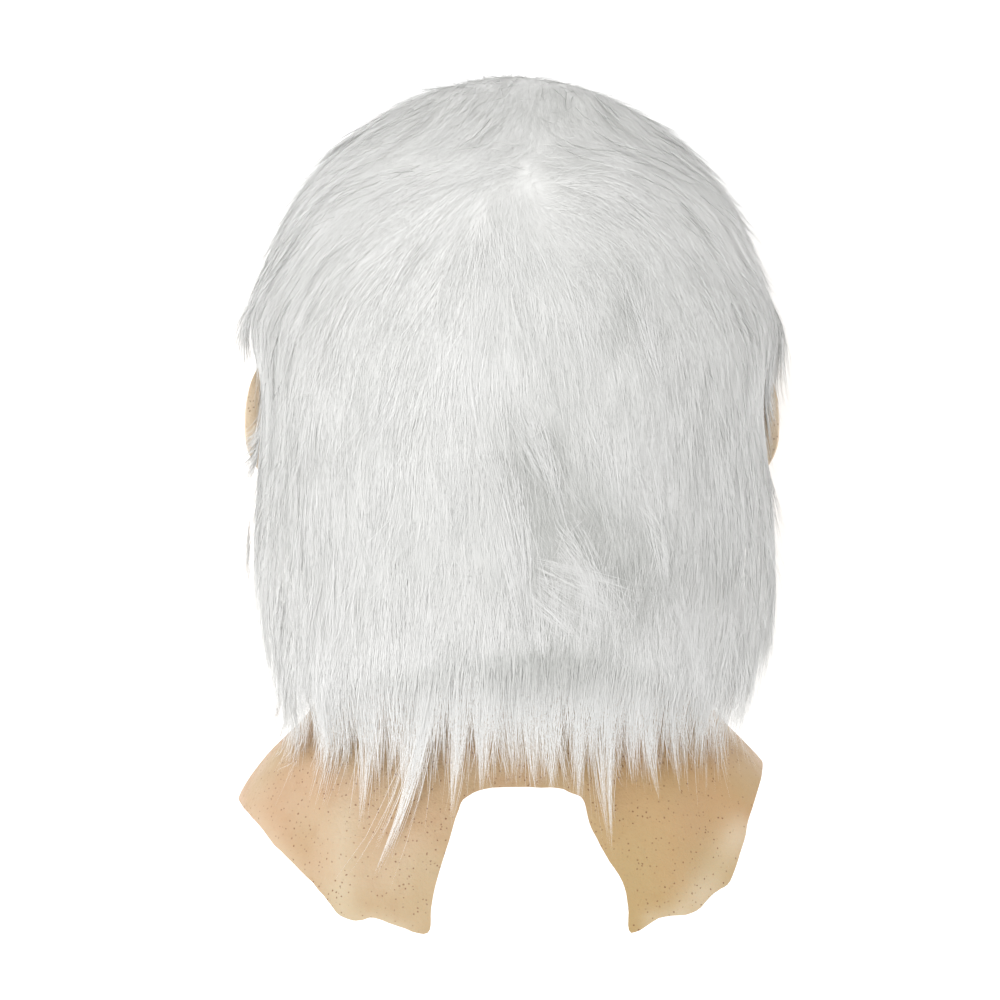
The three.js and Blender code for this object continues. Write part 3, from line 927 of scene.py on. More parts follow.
    def paint(self, places: Array, edge: Array) -> Array:
        """The airbrushed colours, with painted shade on the right flap and round the eyes and a painted
        highlight on the left flap: red, green, blue and cover for each place.

        Args:
            places: The outside's places in the head's frame.
            edge: How far each place is outside the fur's edge, in millimetres.

        Returns:
            Four numbers a place.
        """
        x, y, z = places.T
        side, front = np.abs(x), ease(-z, 20, 60)
        patch = 0.5 + 0.5 * noise(places, 16, 21)
        layers = [
            # Darker over the right flap: painted shade on the side away from the light.
            ((0.39, 0.275, 0.105), 0.75 * ease(z, 20, 60) * ease(x, 0, 46)),
            # A lighter band down the left flap's fold: painted highlight where the fold catches the light.
            ((0.53, 0.47, 0.33), 0.75 * ease(z, 20, 60) * crease(x, y, (-64, 84), (-68, 8), 6)),
            ((0.5, 0.26, 0.15), 0.5 * bell(edge, 22) * (0.3 + 0.7 * patch)),
            ((0.62, 0.24, 0.14), 0.5 * front * bump(side, y, (47, 194), (17, 14)) * (0.6 + 0.4 * patch)),
            ((0.55, 0.16, 0.11), 0.6 * front * bump(side, y, (0, 176), (16, 9))),
            ((0.5, 0.13, 0.1), 0.75 * front * bump(side, y, (0, 150), (21, 8))),
            # Darker round the eyes: painted shade in the sockets.
            ((0.36, 0.2, 0.13), 0.5 * front * bump(side, y, (33, 214), (22, 13))),
            ((0.64, 0.51, 0.36), 0.9 * ease(side, 88, 98) * bell(y - 206, 34)),
            ((0.66, 0.22, 0.13), 0.25 * ease(side, 86, 92) * bell(y - 206, 30) * (1 - ease(side, 92, 100))),
            ((0.68, 0.6, 0.46), 0.7 * ease(z, 20, 60) * self.worn(x, y, patch)),
        ]
        colour, cover = np.zeros((len(x), 3)), np.zeros(len(x))
        for tint, share in layers:
            left = cover * (1 - share)
            total = np.maximum(left + share, 1e-6)
            colour = (colour * left[:, None] + np.multiply.outer(share, tint)) / total[:, None]
            cover = left + share
        return np.column_stack([colour, cover])

    @staticmethod
    def worn(x: Array, y: Array, patch: Array) -> Array:
        """Where the flaps' edges have lost their colour.

        Args:
            x: Places across the head.
            y: Places up the head.
            patch: How patchy the wear is at each place, from 0 to 1.

        Returns:
            How worn each place is, from 0 to 1.
        """
        right = crease(x, y, (95, 52), (66, 10), 7) + 0.6 * crease(x, y, (48, 12), (70, 15), 4)
        left = 0.7 * crease(x, y, (-70, 16), (-36, 8), 4) + 0.5 * crease(x, y, (-110, 56), (-80, 26), 4)
        return np.clip(right + left, 0, 1) * (0.3 + 0.7 * patch)

    def build(
        self, fur: "FurField", outside: bpy.types.Material, inside: bpy.types.Material
    ) -> bpy.types.Object:
        """Makes the shell.

        Args:
            fur: Where the fur ends, which the paint follows.
            outside: The outside's material.
            inside: The unpainted inside's material.

        Returns:
            The finished piece.
        """
        outer, inner = self.grids()
        shell = piece(ball(outer), "latex_shell")
        hollow = piece(ball(inner), "hollow")
        shell.data.materials.append(outside)
        hollow.data.materials.append(inside)
        ears = [piece(self.ear(side), "ear") for side in (1, -1)]
        cutters = self.cutters()
        for tool in (*ears, *cutters):
            tool.data.materials.append(outside)
        steps = [(Cut.JOIN, ear) for ear in ears] + [(Cut.REMOVE, tool) for tool in (hollow, *cutters)]
        carved(shell, steps)
        places = places_of(shell.data)
        paint = shell.data.attributes.new("paint", "FLOAT_COLOR", "POINT")
        paint.data.foreach_set("color", self.paint(places, fur.past_edge(places)).astype(np.float32).ravel())
        move_places(shell.data, self.frame.to_row(places))
        shell.data.shade_smooth()
        shell.data.set_sharp_from_angle(angle=self.sharp)
        return shell


@dataclass(frozen=True)
class Pile:
    """How strands grow. Lengths are in millimetres, and heights are shares of the fur's depth."""

    # How long a strand is, and how high its root and its tip lie.
    length: Pair
    root: Pair
    tip: Pair
    # How wide a clump is at its root, how much its tips gather, and how far a strand strays from it.
    spread: float
    gather: float
    stray: float
    # How wide a strand is, how its brightness varies, and how far its tip stands off.
    width: Pair
    shimmer: float
    stand: float
    # How many clumps would cover a whole ball, and about how many strands they have in all.
    clumps: int
    strands: int
    levels: int = 4


class Quarter(Enum):
    """The coat's stretches, in the order in which they lie round the whorl."""

    BACK_RIGHT = "back_right"
    CROWN_RIGHT = "crown_right"
    CROWN_LEFT = "crown_left"
    BACK_LEFT = "back_left"


@dataclass
class Strands:
    """Grown strands, with one row for each.

    Points and ways are its levels' places and the outward directions there. Bright runs from 0 to 1, width is
    in millimetres, and turn is how far the flat strand is rolled about its own length, in radians.
    """

    points: Array
    ways: Array
    bright: Array
    width: Array
    turn: Array


@dataclass(frozen=True)
class Swell:
    """A broad spot where the fur's surface lies further out."""

    middle: Triple
    radius: float
    rise: float


@dataclass(frozen=True)
class DentAndShade:
    """A spot on the back where the pile is pressed down and ruffled, and its colour darkened as painted
    shade, or lightened as painted light where the shade is below 0.
    """

    middle: Pair
    half: Pair
    depth: float
    shade: float
    mess: float


@dataclass
class FurField:
    """Where the fur grows, how deep it is and which way it lies.

    Skin and rings are the latex head's and the fur's outer surface, and slack is how far the latex hangs off
    its rings.
    """

    skin: Rings
    rings: Rings
    slack: Callable[[Array], Array]
    # The skull's centre, the whorl that the fur radiates from, and the crown over which it parts.
    centre: Triple = (0.0, 215.0, 5.0)
    whorl: Triple = (5.0, 300.0, 103.0)
    crown: Triple = (4.0, 334.0, -52.0)
    least_depth: float = 4.0
    greatest_depth: float = 60.0
    table_size: tuple[int, int] = (240, 121)
    steps: int = 12
    # How far off a direction its neighbours lie that a normal is worked out from, and any way across it.
    nearby: float = 0.02
    any_way: Triple = (0.31, 0.52, 0.79)
    # How much of the pile's depth is lost by the ears.
    by_ear: float = 0.33
    # How high above the latex a place keeps: at the root, and how much more at the tip.
    off_latex: Pair = (0.4, 2.5)
    # The fur's edge on one side, from the middle of the forehead round the ear to the nape.
    edge_points: tuple = (
        (0, 286, -86), (22, 286, -84), (42, 284, -75), (60, 275, -60), (74, 257, -46), (82, 241, -36),
        (86, 238, -24), (88, 244, -10), (90, 247, 4), (90, 238, 20), (88, 205, 26), (86, 165, 20),
        (86, 125, 14), (88, 86, 18), (84, 72, 42), (64, 65, 72), (34, 64, 88), (0, 66, 92),
    )
    # The shade of each darkens the fur's colour as painted shade, and lightens it as painted light where it
    # is below 0; those of depth 0 change only the colour.
    dents_and_shades: tuple[DentAndShade, ...] = (
        DentAndShade((11, 186), (17, 19), 0.035, 0.6, 0.1), DentAndShade((32, 152), (28, 16), 0.035, 0.5, 0.7),
        DentAndShade((46, 246), (11, 20), 0.02, 0.3, 0.1), DentAndShade((4, 124), (18, 18), 0.03, 0.3, 0.1),
        DentAndShade((-36, 130), (18, 22), 0.02, 0.12, 0.1), DentAndShade((4, 328), (64, 14), 0.02, 0.3, 0),
        DentAndShade((28, 132), (36, 24), 0, 0.46, 0), DentAndShade((66, 280), (26, 22), 0, -0.14, 0),
        DentAndShade((-62, 262), (30, 34), 0, 0.1, 0), DentAndShade((-62, 190), (34, 30), 0, 0.1, 0),
        DentAndShade((-8, 218), (24, 18), 0, -0.14, 0), DentAndShade((-2, 150), (10, 24), 0, -0.2, 0),
    )
    swells: tuple[Swell, ...] = (
        Swell((106, 226, 8), 20, 4.5), Swell((104, 150, 12), 42, 4.5), Swell((-96, 92, 14), 24, 1),
        Swell((-102, 160, 12), 30, 1.5), Swell((99, 96, 20), 22, 4),
    )
    # Each wisp that stands off the sides: its root, its tip and its half width.
    wisps: tuple = (
        ((-98, 264, 12), (-117, 234, 12), 8), ((-99, 260, 2), (-114, 231, 4), 8),
        ((-99, 256, 24), (-111, 229, 20), 7), ((-100, 264, -8), (-115, 238, -2), 7),
        ((-102, 204, 26), (-117, 193, 24), 6), ((-102, 200, 20), (-114, 187, 20), 5),
        ((-102, 196, 26), (-112, 182, 24), 5), ((-103, 164, 12), (-110, 153, 12), 6),
        ((-103, 158, 20), (-108, 147, 18), 6), ((-100, 112, 20), (-103, 101, 22), 5),
        ((-98, 104, 16), (-101, 91, 18), 5), ((-97, 98, 28), (-99, 85, 28), 6),
        ((-94, 96, 40), (-95, 82, 38), 6), ((-91, 94, 50), (-90, 80, 48), 6),
        ((98, 262, 6), (112, 229, 6), 8), ((99, 256, 12), (115, 221, 12), 9),
        ((99, 250, 4), (117, 213, 8), 9), ((99, 246, 16), (115, 205, 16), 8),
        ((99, 244, 26), (111, 203, 26), 7),
        ((100, 240, 30), (108, 204, 30), 6), ((101, 230, 24), (106, 196, 22), 6),
        ((104, 130, 22), (109, 106, 24), 8), ((102, 120, 30), (107, 100, 30), 7),
    )
    # Each clear lock on the back: where it starts, where its tip lies, and its half width.
    back_locks: tuple = (
        ((-3, 190), (7, 121), 6), ((-5, 176), (6, 116), 4), ((6, 208), (21, 165), 4),
        ((0, 214), (14, 180), 4), ((30, 215), (39, 176), 4), ((8, 149), (42, 133), 3),
        ((14, 152), (46, 142), 2), ((9, 143), (36, 126), 3), ((18, 147), (44, 128), 2),
        ((22, 152), (38, 122), 2), ((5, 140), (26, 122), 3), ((26, 150), (31, 124), 2),
        ((-22, 208), (-24, 152), 6), ((-50, 190), (-56, 140), 7), ((52, 190), (60, 140), 6),
        ((22, 160), (36, 120), 5), ((-9, 132), (-5, 98), 5), ((-30, 140), (-36, 102), 6),
        ((30, 122), (35, 92), 5), ((-42, 236), (-58, 190), 7), ((20, 262), (30, 214), 6),
        ((48, 262), (58, 216), 6), ((-12, 268), (-16, 214), 6), ((-66, 160), (-70, 116), 7),
        ((66, 150), (72, 108), 7), ((0, 122), (2, 88), 5),
    )
    # Each lock of the nape: where it starts across the head, where its tip hangs, and its half width.
    nape_locks: tuple = (
        (-88, -94, 80, 4), (-81, -86, 80, 4), (-74, -77, 76, 4), (-66, -79, 68, 4), (-59, -62, 51, 5),
        (-52, -56, 63, 4), (-43, -45, 54, 5), (-34, -40, 60, 4), (-23, -54, 27, 2), (-19, -25, 52, 5),
        (-12, -13, 72, 5), (-6, -13, 62, 4), (0, 2, 70, 4), (6, 9, 66, 6), (14, 17, 64, 5), (23, 27, 60, 5),
        (33, 40, 41, 7), (45, 50, 66, 5), (54, 60, 62, 5), (61, 69, 64, 4), (69, 78, 72, 5), (77, 83, 74, 4),
        (86, 91, 84, 4),
    )

    def __post_init__(self) -> None:
        """Works out the edge line and the depths once, over all directions."""
        self.axis = unit(np.subtract(self.whorl, self.centre))
        self.top = unit(np.subtract(self.crown, self.centre))
        self.over = unit(np.array([0, 0, -1.0]) + self.axis[2] * self.axis)
        self.sideways = np.cross(self.axis, self.over)
        right = np.array(self.edge_points, float)
        left = right[1:-1] * [-1, 1, 1]
        turns, angles = self.polar(unit(np.vstack([right, left]) - self.centre))
        order = np.argsort(turns)
        self.edge = turns[order], angles[order]
        around = np.linspace(0, TAU, self.table_size[0], endpoint=False)
        turns, angles = np.meshgrid(around, np.linspace(0, math.pi, self.table_size[1]))
        ways = self.direction(turns.ravel(), angles.ravel())
        outer = self.outer(ways)
        normal = self.normals(ways, outer)
        level = np.sum(normal * ways, axis=1)
        tops = self.centre + ways * outer[:, None]
        pile = self.skin.crossing(tops, -normal, 0, self.greatest_depth, False)
        pile = np.maximum(pile, self.least_depth)
        x, y, z = tops.T
        by_ear = self.by_ear * bell(y - 222, 22) * bell(z - 10, 44) * ease(np.abs(x), 70, 95)
        columns = [outer - pile * by_ear / level, pile * (1 - by_ear), normal]
        self.table = np.column_stack(columns).reshape(*turns.shape, 5)

    def outer(self, ways: Array) -> Array:
        """How far the fur's surface lies from the skull's centre.

        Args:
            ways: Directions from the centre.

        Returns:
            One distance for each direction.
        """
        reach = self.rings.reach(self.centre, ways)
        places = self.centre + ways * reach[:, None]
        near = [s.rise * bell(np.linalg.norm(places - s.middle, axis=1), s.radius) for s in self.swells]
        return reach + sum(near)

    def normals(self, ways: Array, reach: Array) -> Array:
        """The outward normals of the fur's surface.

        Args:
            ways: Directions from the centre.
            reach: How far the surface lies along each.

        Returns:
            One normal for each direction.
        """
        aside = unit(np.cross(ways, self.any_way))
        slope = 0 * ways
        for tangent in (aside, np.cross(ways, aside)):
            rise = self.outer(unit(ways + self.nearby * tangent)) - reach
            slope += tangent * (rise / self.nearby / reach)[:, None]
        return unit(ways - slope)

    def clear_of_latex(self, places: Array, clear: Array) -> Array:
        """Moves places at the neck outwards to lie clear of the slack latex.

        Args:
            places: Where they would lie.
            clear: The least distance that each keeps, in millimetres.

        Returns:
            The places, moved where they lay too low.
        """
        away = (places - [0, 0, self.skin.centre_z]) * [1, 0, 1]
        radius = np.linalg.norm(away, axis=1)
        share = 1 / np.maximum(self.skin.size(places), 0.1)
        base = places - away * (1 - share)[:, None]
        short = clear + self.slack(base) - radius * (1 - share)
        more = (short + np.hypot(short, 0.7)) / 2 * ease(124 - places[:, 1], 0, 14)
        return places + away * (more / np.maximum(radius, 1))[:, None]

    def polar(self, ways: Array) -> tuple[Array, Array]:
        """Turn about the whorl, 0 over the crown, and angle from it."""
        angle = np.arccos(np.clip(ways @ self.axis, -1, 1))
        return np.arctan2(ways @ self.sideways, ways @ self.over), angle

    def direction(self, turn: Array, angle: Array) -> Array:
        """The direction from the skull's centre at a turn and an angle."""
        flat = np.cos(turn)[:, None] * self.over + np.sin(turn)[:, None] * self.sideways
        return np.cos(angle)[:, None] * self.axis + np.sin(angle)[:, None] * flat

    def edge_angle(self, turn: Array) -> Array:
        """The angle at which the fur ends."""
        return np.interp(turn, *self.edge, period=TAU)

    def root_angle(self, turn: Array) -> Array:
        """The angle at which the last strands are rooted, short of where their tips end.

        Args:
            turn: The turn about the whorl.

        Returns:
            One angle for each turn, in a ragged line at the nape.
        """
        nape, brow = ease(-np.cos(turn), 0.35, 0.8), ease(np.cos(turn), 0.5, 0.9)
        ragged = np.sin(23 * turn) + np.sin(37 * turn + 1) + np.sin(61 * turn + 2)
        return self.edge_angle(turn) - 0.02 - (0.215 + 0.025 * ragged) * nape - 0.08 * brow

    def past_edge(self, places: Array) -> Array:
        """How far places lie outside the fur's edge.

        Args:
            places: Places on the head.

        Returns:
            One distance for each place, in millimetres, negative under the fur.
        """
        away = places - self.centre
        turn, angle = self.polar(unit(away))
        return (angle - self.edge_angle(turn)) * np.linalg.norm(away, axis=1)

    def surface(self, ways: Array) -> tuple[Array, Array, Array]:
        """Looks the fur's surface up in the table.

        Args:
            ways: Directions from the skull's centre.

        Returns:
            The surface's distance from the centre, the depth from it down to the skin, and its normal.
        """
        turn, angle = self.polar(ways)
        columns, rows = self.table_size
        across, down = (turn / TAU * columns) % columns, angle / math.pi * (rows - 1)
        column, row = np.floor(across).astype(int) % columns, np.minimum(down.astype(int), rows - 2)
        aside, below = (across - np.floor(across))[:, None], (down - row)[:, None]
        after = (column + 1) % columns
        upper = self.table[row, column] * (1 - aside) + self.table[row, after] * aside
        lower = self.table[row + 1, column] * (1 - aside) + self.table[row + 1, after] * aside
        found = upper * (1 - below) + lower * below
        return found[:, 0], found[:, 1], unit(found[:, 2:])

    def place(self, ways: Array, height: Array) -> Array:
        """Finds places in the fur.

        Args:
            ways: Directions from the skull's centre.
            height: How high each place lies, from 0 on the skin to 1 at the fur's surface.

        Returns:
            The places.
        """
        reach, pile, normal = self.surface(ways)
        places = self.centre + ways * reach[:, None] - normal * (pile * (1 - height))[:, None]
        return self.clear_of_latex(places, self.off_latex[0] + self.off_latex[1] * height)

    @staticmethod
    def nape_share(places: Array) -> Array:
        """How far places belong to the nape, from 0 to 1."""
        return ease(150 - places[:, 1], 0, 40) * ease(places[:, 2], 0, 30)

    def thinned(self, places: Array, nape: Array) -> Array:
        """How much of the pile's height is left towards the fur's edge, over a wider band at the nape."""
        return 1 - 0.66 * ease(self.past_edge(places), -14 - 28 * nape, 12 - 8 * nape)

    def flow(self, ways: Array) -> Array:
        """The way that the fur lies: back and down off the crown, out from the whorl, and hanging below.

        Args:
            ways: Directions from the skull's centre.

        Returns:
            The fur's direction along its surface at each.
        """
        down = unit(ways * ways[:, 1:2] - [0, 1, 0])
        hang = 2.2 * ease(-ways[:, 1], -0.4, 0.8) + 1.2 * ease(np.abs(ways[:, 0]), 0.82, 1)
        lie = down * hang[:, None]
        off_crown = unit(ways * (ways @ self.top)[:, None] - self.top)
        lie += off_crown * (1.05 / (self.gap(ways, self.top) + 0.25))[:, None]
        gap = self.gap(ways, self.axis)
        away = unit(ways * (ways @ self.axis)[:, None] - self.axis)
        below = 0.15 + 0.85 * ease(np.sum(away * down, axis=1), -0.6, 0.35)
        out = away + np.cross(ways, away) * (0.3 * bell(gap, 0.3))[:, None]
        return unit(lie + out * (below / (gap + 0.12))[:, None])

    @staticmethod
    def gap(ways: Array, source: Array) -> Array:
        """The angle between directions and a source of the flow."""
        return np.arccos(np.clip(ways @ source, -1, 1))

    def grow(self, roots: Array, long: Array, sway: Array, curl: Array) -> Array:
        """Follows the lie of the fur.

        Args:
            roots: Where each line starts, as a direction.
            long: Its length in millimetres.
            sway: How far it turns off the lie of the fur, in radians.
            curl: How much more it turns along its length.

        Returns:
            Directions by line and step.
        """
        lines = [roots]
        for step in range(self.steps):
            way = lines[-1]
            lie = self.flow(way)
            turn = sway + curl * (step / self.steps - 0.4)
            turned = lie * np.cos(turn)[:, None] + np.cross(way, lie) * np.sin(turn)[:, None]
            reach, stride = self.surface(way)[0], long / self.steps
            rise = self.surface(unit(way + turned * (stride / reach)[:, None]))[0] - reach
            lines.append(unit(way + turned * (stride**2 / np.hypot(stride, rise) / reach)[:, None]))
        return np.stack(lines, axis=1)

    def dented_and_shaded(self, places: Array) -> tuple[Array, Array, Array]:
        """How the pile is pressed down, painted darker or lighter, and ruffled.

        Args:
            places: Places on the fur.

        Returns:
            How much lower, how much darker by painted shade (negative for painted light) and how much messier
            it is at each place.
        """
        x, y, z = places.T
        shares = np.array([bump(x, y, dent_and_shade.middle, dent_and_shade.half) * (z > 20) for dent_and_shade in self.dents_and_shades])
        kinds = np.array([(dent_and_shade.depth, dent_and_shade.shade, dent_and_shade.mess) for dent_and_shade in self.dents_and_shades])
        return tuple(kinds.T @ shares)

    def above(self, x: Array, y: Array) -> Array:
        """The direction to the fur's surface over places on the back of the head.

        Args:
            x: Places across the head.
            y: Places up the head.

        Returns:
            One direction for each place.
        """
        width = self.rings.ring(y)[0]
        sine = np.sign(x) * np.minimum(np.abs(x) / width, 1) ** (self.rings.power / 2)
        return unit(self.rings.point(y, math.pi - np.arcsin(sine)) - self.centre)

    def stretch(self, places: Array) -> Array:
        """How long strands are, against elsewhere: short over the forehead and where they part.

        Args:
            places: Places on the fur.

        Returns:
            One factor for each place.
        """
        at = unit(places - self.centre)
        upright = 0.5 * bell(self.gap(at, self.axis), 0.14) + 0.35 * bell(self.gap(at, self.top), 0.3)
        return (1 - 0.35 * ease(-places[:, 2], 10, 60)) * (1 - upright)


@dataclass
class FurCap:
    """The cap of imitation fur: a soft backing and the strands that grow through it."""

    frame: HeadFrame
    growth: FurField
    material: bpy.types.Material
    seed: int = 41
    # How many locks would cover a whole ball, how many of them are raised, and how long they are.
    lock_count: int = 3400
    raised_share: float = 0.16
    lock_length: float = 44.0
    # How high the backing reaches, how much of that is left at its edge, and where its inside lies.
    backing_height: float = 0.935
    backing_edge: float = 0.1
    backing_inside: float = 0.03
    # The backing's rows outside and inside, and its columns.
    backing_mesh: tuple[int, int, int] = (64, 10, 192)
    # The angle from the whorl up to which the backing's rows are evenly spaced.
    backing_angle: float = 1.67
    # The step of a clump's line whose place gives the clump its brightness.
    shade_step: int = 8
    # What spreads the roots' numbers evenly from 0 to 1, for choosing which are kept.
    even_step: float = 0.7548776662
    # The usual distance from the skull's centre to the nape, which the roots' spacing is given for.
    usual_reach: float = 190.0
    # Where the nape's locks start up the head, and how many small ones lie between them.
    nape_start: float = 131.0
    small_locks: int = 80
    # How many strands a lock of the nape and a wisp have, how many a clear lock has for each millimetre of
    # its half width, and how many the brows have.
    nape_crowd: int = 110
    wisp_crowd: int = 150
    lock_crowd: int = 18
    brow_strands: int = 1800
    # How bright each of these is, from 0 to 1.
    nape_bright: float = 0.8
    wisp_bright: float = 0.8
    lock_bright: float = 0.72
    brow_bright: float = 0.6
    # How wide a ribbon is along its length: shares of the length, and widths against its widest.
    taper: tuple = ((0, 0.5, 0.8, 1), (1, 0.95, 0.7, 0.08))
    # How far over the floor a strand is kept, in millimetres.
    over_floor: Pair = (0.2, 2.5)
    coat: Pile = Pile(
        length=(28, 48), root=(0.94, 0.952), tip=(0.961, 0.973), spread=5.6, gather=0.1, stray=3.2,
        width=(0.13, 0.26), shimmer=0.03, stand=0.08, clumps=26000, strands=20000,
    )
    fuzz: Pile = Pile(
        length=(10, 19), root=(0.95, 0.965), tip=(0.965, 0.98), spread=4, gather=0, stray=4.5,
        width=(0.06, 0.12), shimmer=0.08, stand=2.6, levels=3, clumps=28000, strands=26000,
    )
    flyaways: Pile = Pile(
        length=(16, 32), root=(0.95, 0.965), tip=(0.965, 0.98), spread=3.4, gather=0.6, stray=2.6,
        width=(0.08, 0.16), shimmer=0.06, stand=2.2, clumps=1400, strands=7000,
    )

    def __post_init__(self) -> None:
        """Lays out the locks that every stretch of fur shares."""
        self.random = np.random.default_rng(self.seed)
        self.locks = self.roots(self.lock_count)
        spots = self.growth.place(self.locks, np.ones(len(self.locks)))
        count = len(self.locks)
        self.lock_raised = self.random.uniform(0, 1, count) < self.raised_share
        self.lock_high = self.random.normal(0, 0.003, count) + 0.02 * self.lock_raised
        # Raised locks are painted lighter: painted light on the top layer of the pile.
        self.lock_shade = self.random.normal(0, 0.035, count) + 0.08 * self.lock_raised
        sway = 0.3 * noise(spots, 48, 31) + self.random.normal(0, 0.12, count)
        long = self.lock_length * self.growth.stretch(spots) * self.random.uniform(0.85, 1.15, count)
        self.lock_lines = self.growth.grow(self.locks, long, sway, self.random.normal(0, 0.2, count))

    def backing(self) -> bpy.types.Object:
        """Makes the undercoat, from the latex to part of the pile's height.

        Returns:
            The finished piece, without its material.
        """
        outer_rows, inner_rows, columns = self.backing_mesh
        shares = np.concatenate([np.linspace(0, 1, outer_rows), np.linspace(1, 0, inner_rows + 1)[1:]])
        turn = np.arange(columns) / columns * TAU
        rows = []
        for row, share in enumerate(shares):
            even = self.backing_angle
            angle = share * even + share**3 * (self.growth.root_angle(turn) - even)
            ways = self.growth.direction(turn, np.maximum(angle, 1e-4))
            if row < outer_rows:
                top = self.growth.place(ways, 0 * turn + 1)
                low = self.growth.dented_and_shaded(top)[0]
                thin = 1 - (1 - self.backing_edge) * ease(np.array(share), 0.82, 1)
                tall = (self.backing_height + 0.005 * noise(top, 16, 6)) * (1 - low) * thin
                rows.append(self.growth.place(ways, tall))
            else:
                rows.append(self.growth.place(ways, 0 * turn + self.backing_inside))
        grid = np.array(rows)
        grid[0] = grid[0, 0]
        grid[-1] = grid[-1, 0]
        made = piece(ball(self.frame.pressed(grid, 0.4)), "fur_backing")
        places = places_of(made.data)
        move_places(made.data, self.frame.to_row(places))
        made.data.shade_smooth()
        self.tag(made.data, {"strand": self.shade(places), "along": np.full(len(places), 0.4)})
        return made

    def shade(self, places: Array) -> Array:
        """How bright the fur's colour is at each place, from 0 to 1: random tone with the dents' painted
        shade and painted light.
        """
        soft = 0.1 * noise(places, 34, 35) + 0.06 * noise(places, 14, 36)
        return np.clip(0.58 + soft - 1.2 * self.growth.dented_and_shaded(places)[1], 0, 1)

    @staticmethod
    def tag(mesh: bpy.types.Mesh, values: dict[str, Array]) -> None:
        """Writes a mesh's attributes.

        Args:
            mesh: The mesh.
            values: The values of each attribute, one for each vertex.
        """
        for label, value in values.items():
            attribute = mesh.attributes.new(label, "FLOAT", "POINT")
            attribute.data.foreach_set("value", value.astype(np.float32))

    def roots(self, count: int) -> Array:
        """Directions that spread evenly over the fur's surface.

        Args:
            count: How many would cover a whole ball at the nape's spacing.

        Returns:
            The directions that lie inside the fur's edge.
        """
        index = np.arange(count) + 0.5
        height = 1 - 2 * index / count
        turn = index * math.pi * (1 + math.sqrt(5))
        flat = np.sqrt(1 - height**2)
        ways = np.column_stack([flat * np.cos(turn), height, flat * np.sin(turn)])
        ways = unit(ways + self.random.normal(0, 0.5 / math.sqrt(count), ways.shape))
        reach, _, normal = self.growth.surface(ways)
        share = (reach / self.usual_reach) ** 2 / np.sum(normal * ways, axis=1)
        around, angle = self.growth.polar(ways)
        kept = (index * self.even_step % 1 < share) & (angle < self.growth.root_angle(around))
        return ways[kept]

    def paths(self, roots: Array, each: int, pile: Pile) -> Strands:
        """Grows strands in clumps, and the clumps in locks.

        Args:
            roots: One direction for each clump.
            each: How many strands a clump has.
            pile: How they grow.

        Returns:
            The strands.
        """
        rng, clumps, count, fur = self.random, len(roots), len(roots) * each, self.growth
        spots = fur.place(roots, np.ones(clumps))
        mess = fur.dented_and_shaded(spots - [0, 20, 0])[2]
        lock = np.argmax(roots @ self.locks.T, axis=1)
        apart = np.linalg.norm(roots - self.locks[lock], axis=1) * fur.surface(roots)[0]
        sway = 0.24 * noise(spots, 48, 31) + 0.1 * noise(spots, 15, 32) + rng.normal(0, 0.05, clumps)
        sway += mess * rng.normal(0.6, 0.8, clumps)
        long = rng.uniform(*pile.length, clumps) * fur.stretch(spots)
        lines = fur.grow(roots, long, sway, rng.normal(0, 0.2, clumps))
        nape = fur.nape_share(spots)
        pull = 0.35 + 0.35 * self.lock_raised[lock] + 0.2 * nape
        pull = pull * rng.uniform(0.6, 1.1, clumps) * (1 - mess)
        along = np.linspace(0, 1, fur.steps + 1)[None, :, None] ** 1.3
        lines = unit(lines + (self.lock_lines[lock] - lines) * pull[:, None, None] * along)
        high = self.lock_high[lock] - 0.002 * apart + rng.normal(0, 0.002, clumps)
        shade = self.shade(fur.place(lines[:, self.shade_step], np.ones(clumps)))
        # Strands further from their lock's middle are painted darker: painted shade between the locks.
        shade = shade + self.lock_shade[lock] - 0.006 * apart
        row = np.repeat(np.arange(clumps), each)
        lift = np.minimum(rng.exponential(pile.stand, clumps), 3 * pile.stand)[row]
        lift = lift * rng.uniform(0.2, 1.1, count)
        first = lines[row, 0]
        around = unit(np.cross(first, rng.normal(size=(count, 3))))
        around = around * np.sqrt(rng.uniform(0, 1, count))[:, None]
        wander = unit(np.cross(first, rng.normal(size=(count, 3))))
        wander = wander * rng.normal(0, pile.stray, count)[:, None]
        reach = rng.uniform(0.68 - 0.3 * nape[row], 1) * fur.steps
        top = high[row] + rng.uniform(*pile.tip, count)
        base = rng.uniform(*pile.root, count)
        points, ways = [], []
        for share in np.linspace(0, 1, pile.levels):
            at = np.minimum(share * reach, fur.steps - 1e-6)
            i, part = at.astype(int), (at % 1)[:, None]
            way = lines[row, i] * (1 - part) + lines[row, i + 1] * part
            off = around * (pile.spread * (1 - pile.gather * share**1.2)) + wander * share**1.5
            way = unit(way * fur.surface(way)[0][:, None] + off)
            flat = fur.place(way, np.ones(count))
            fade = fur.thinned(flat, nape[row]) * (1 - fur.dented_and_shaded(flat)[0])
            height = (base + (top - base) * (1 - (1 - share) ** 1.9)) * fade
            outward = fur.surface(way)[2]
            points.append(fur.place(way, height) + outward * (lift * share**1.7)[:, None])
            ways.append(outward)
        off = ease(lift, 0.4, 2.6)
        aside = 1 - ways[0][:, 2] ** 2
        # Strands that stand off the pile are painted lighter: painted light.
        own = rng.normal(0, pile.shimmer, count) + 0.2 * off
        bright = np.clip(shade[row] + own, 0, 1)
        turn = rng.normal(0, 0.12 + off * (0.2 + 0.9 * aside), count)
        stacked = np.stack(points, axis=1), np.stack(ways, axis=1)
        return Strands(*stacked, bright, rng.uniform(*pile.width, count), turn)

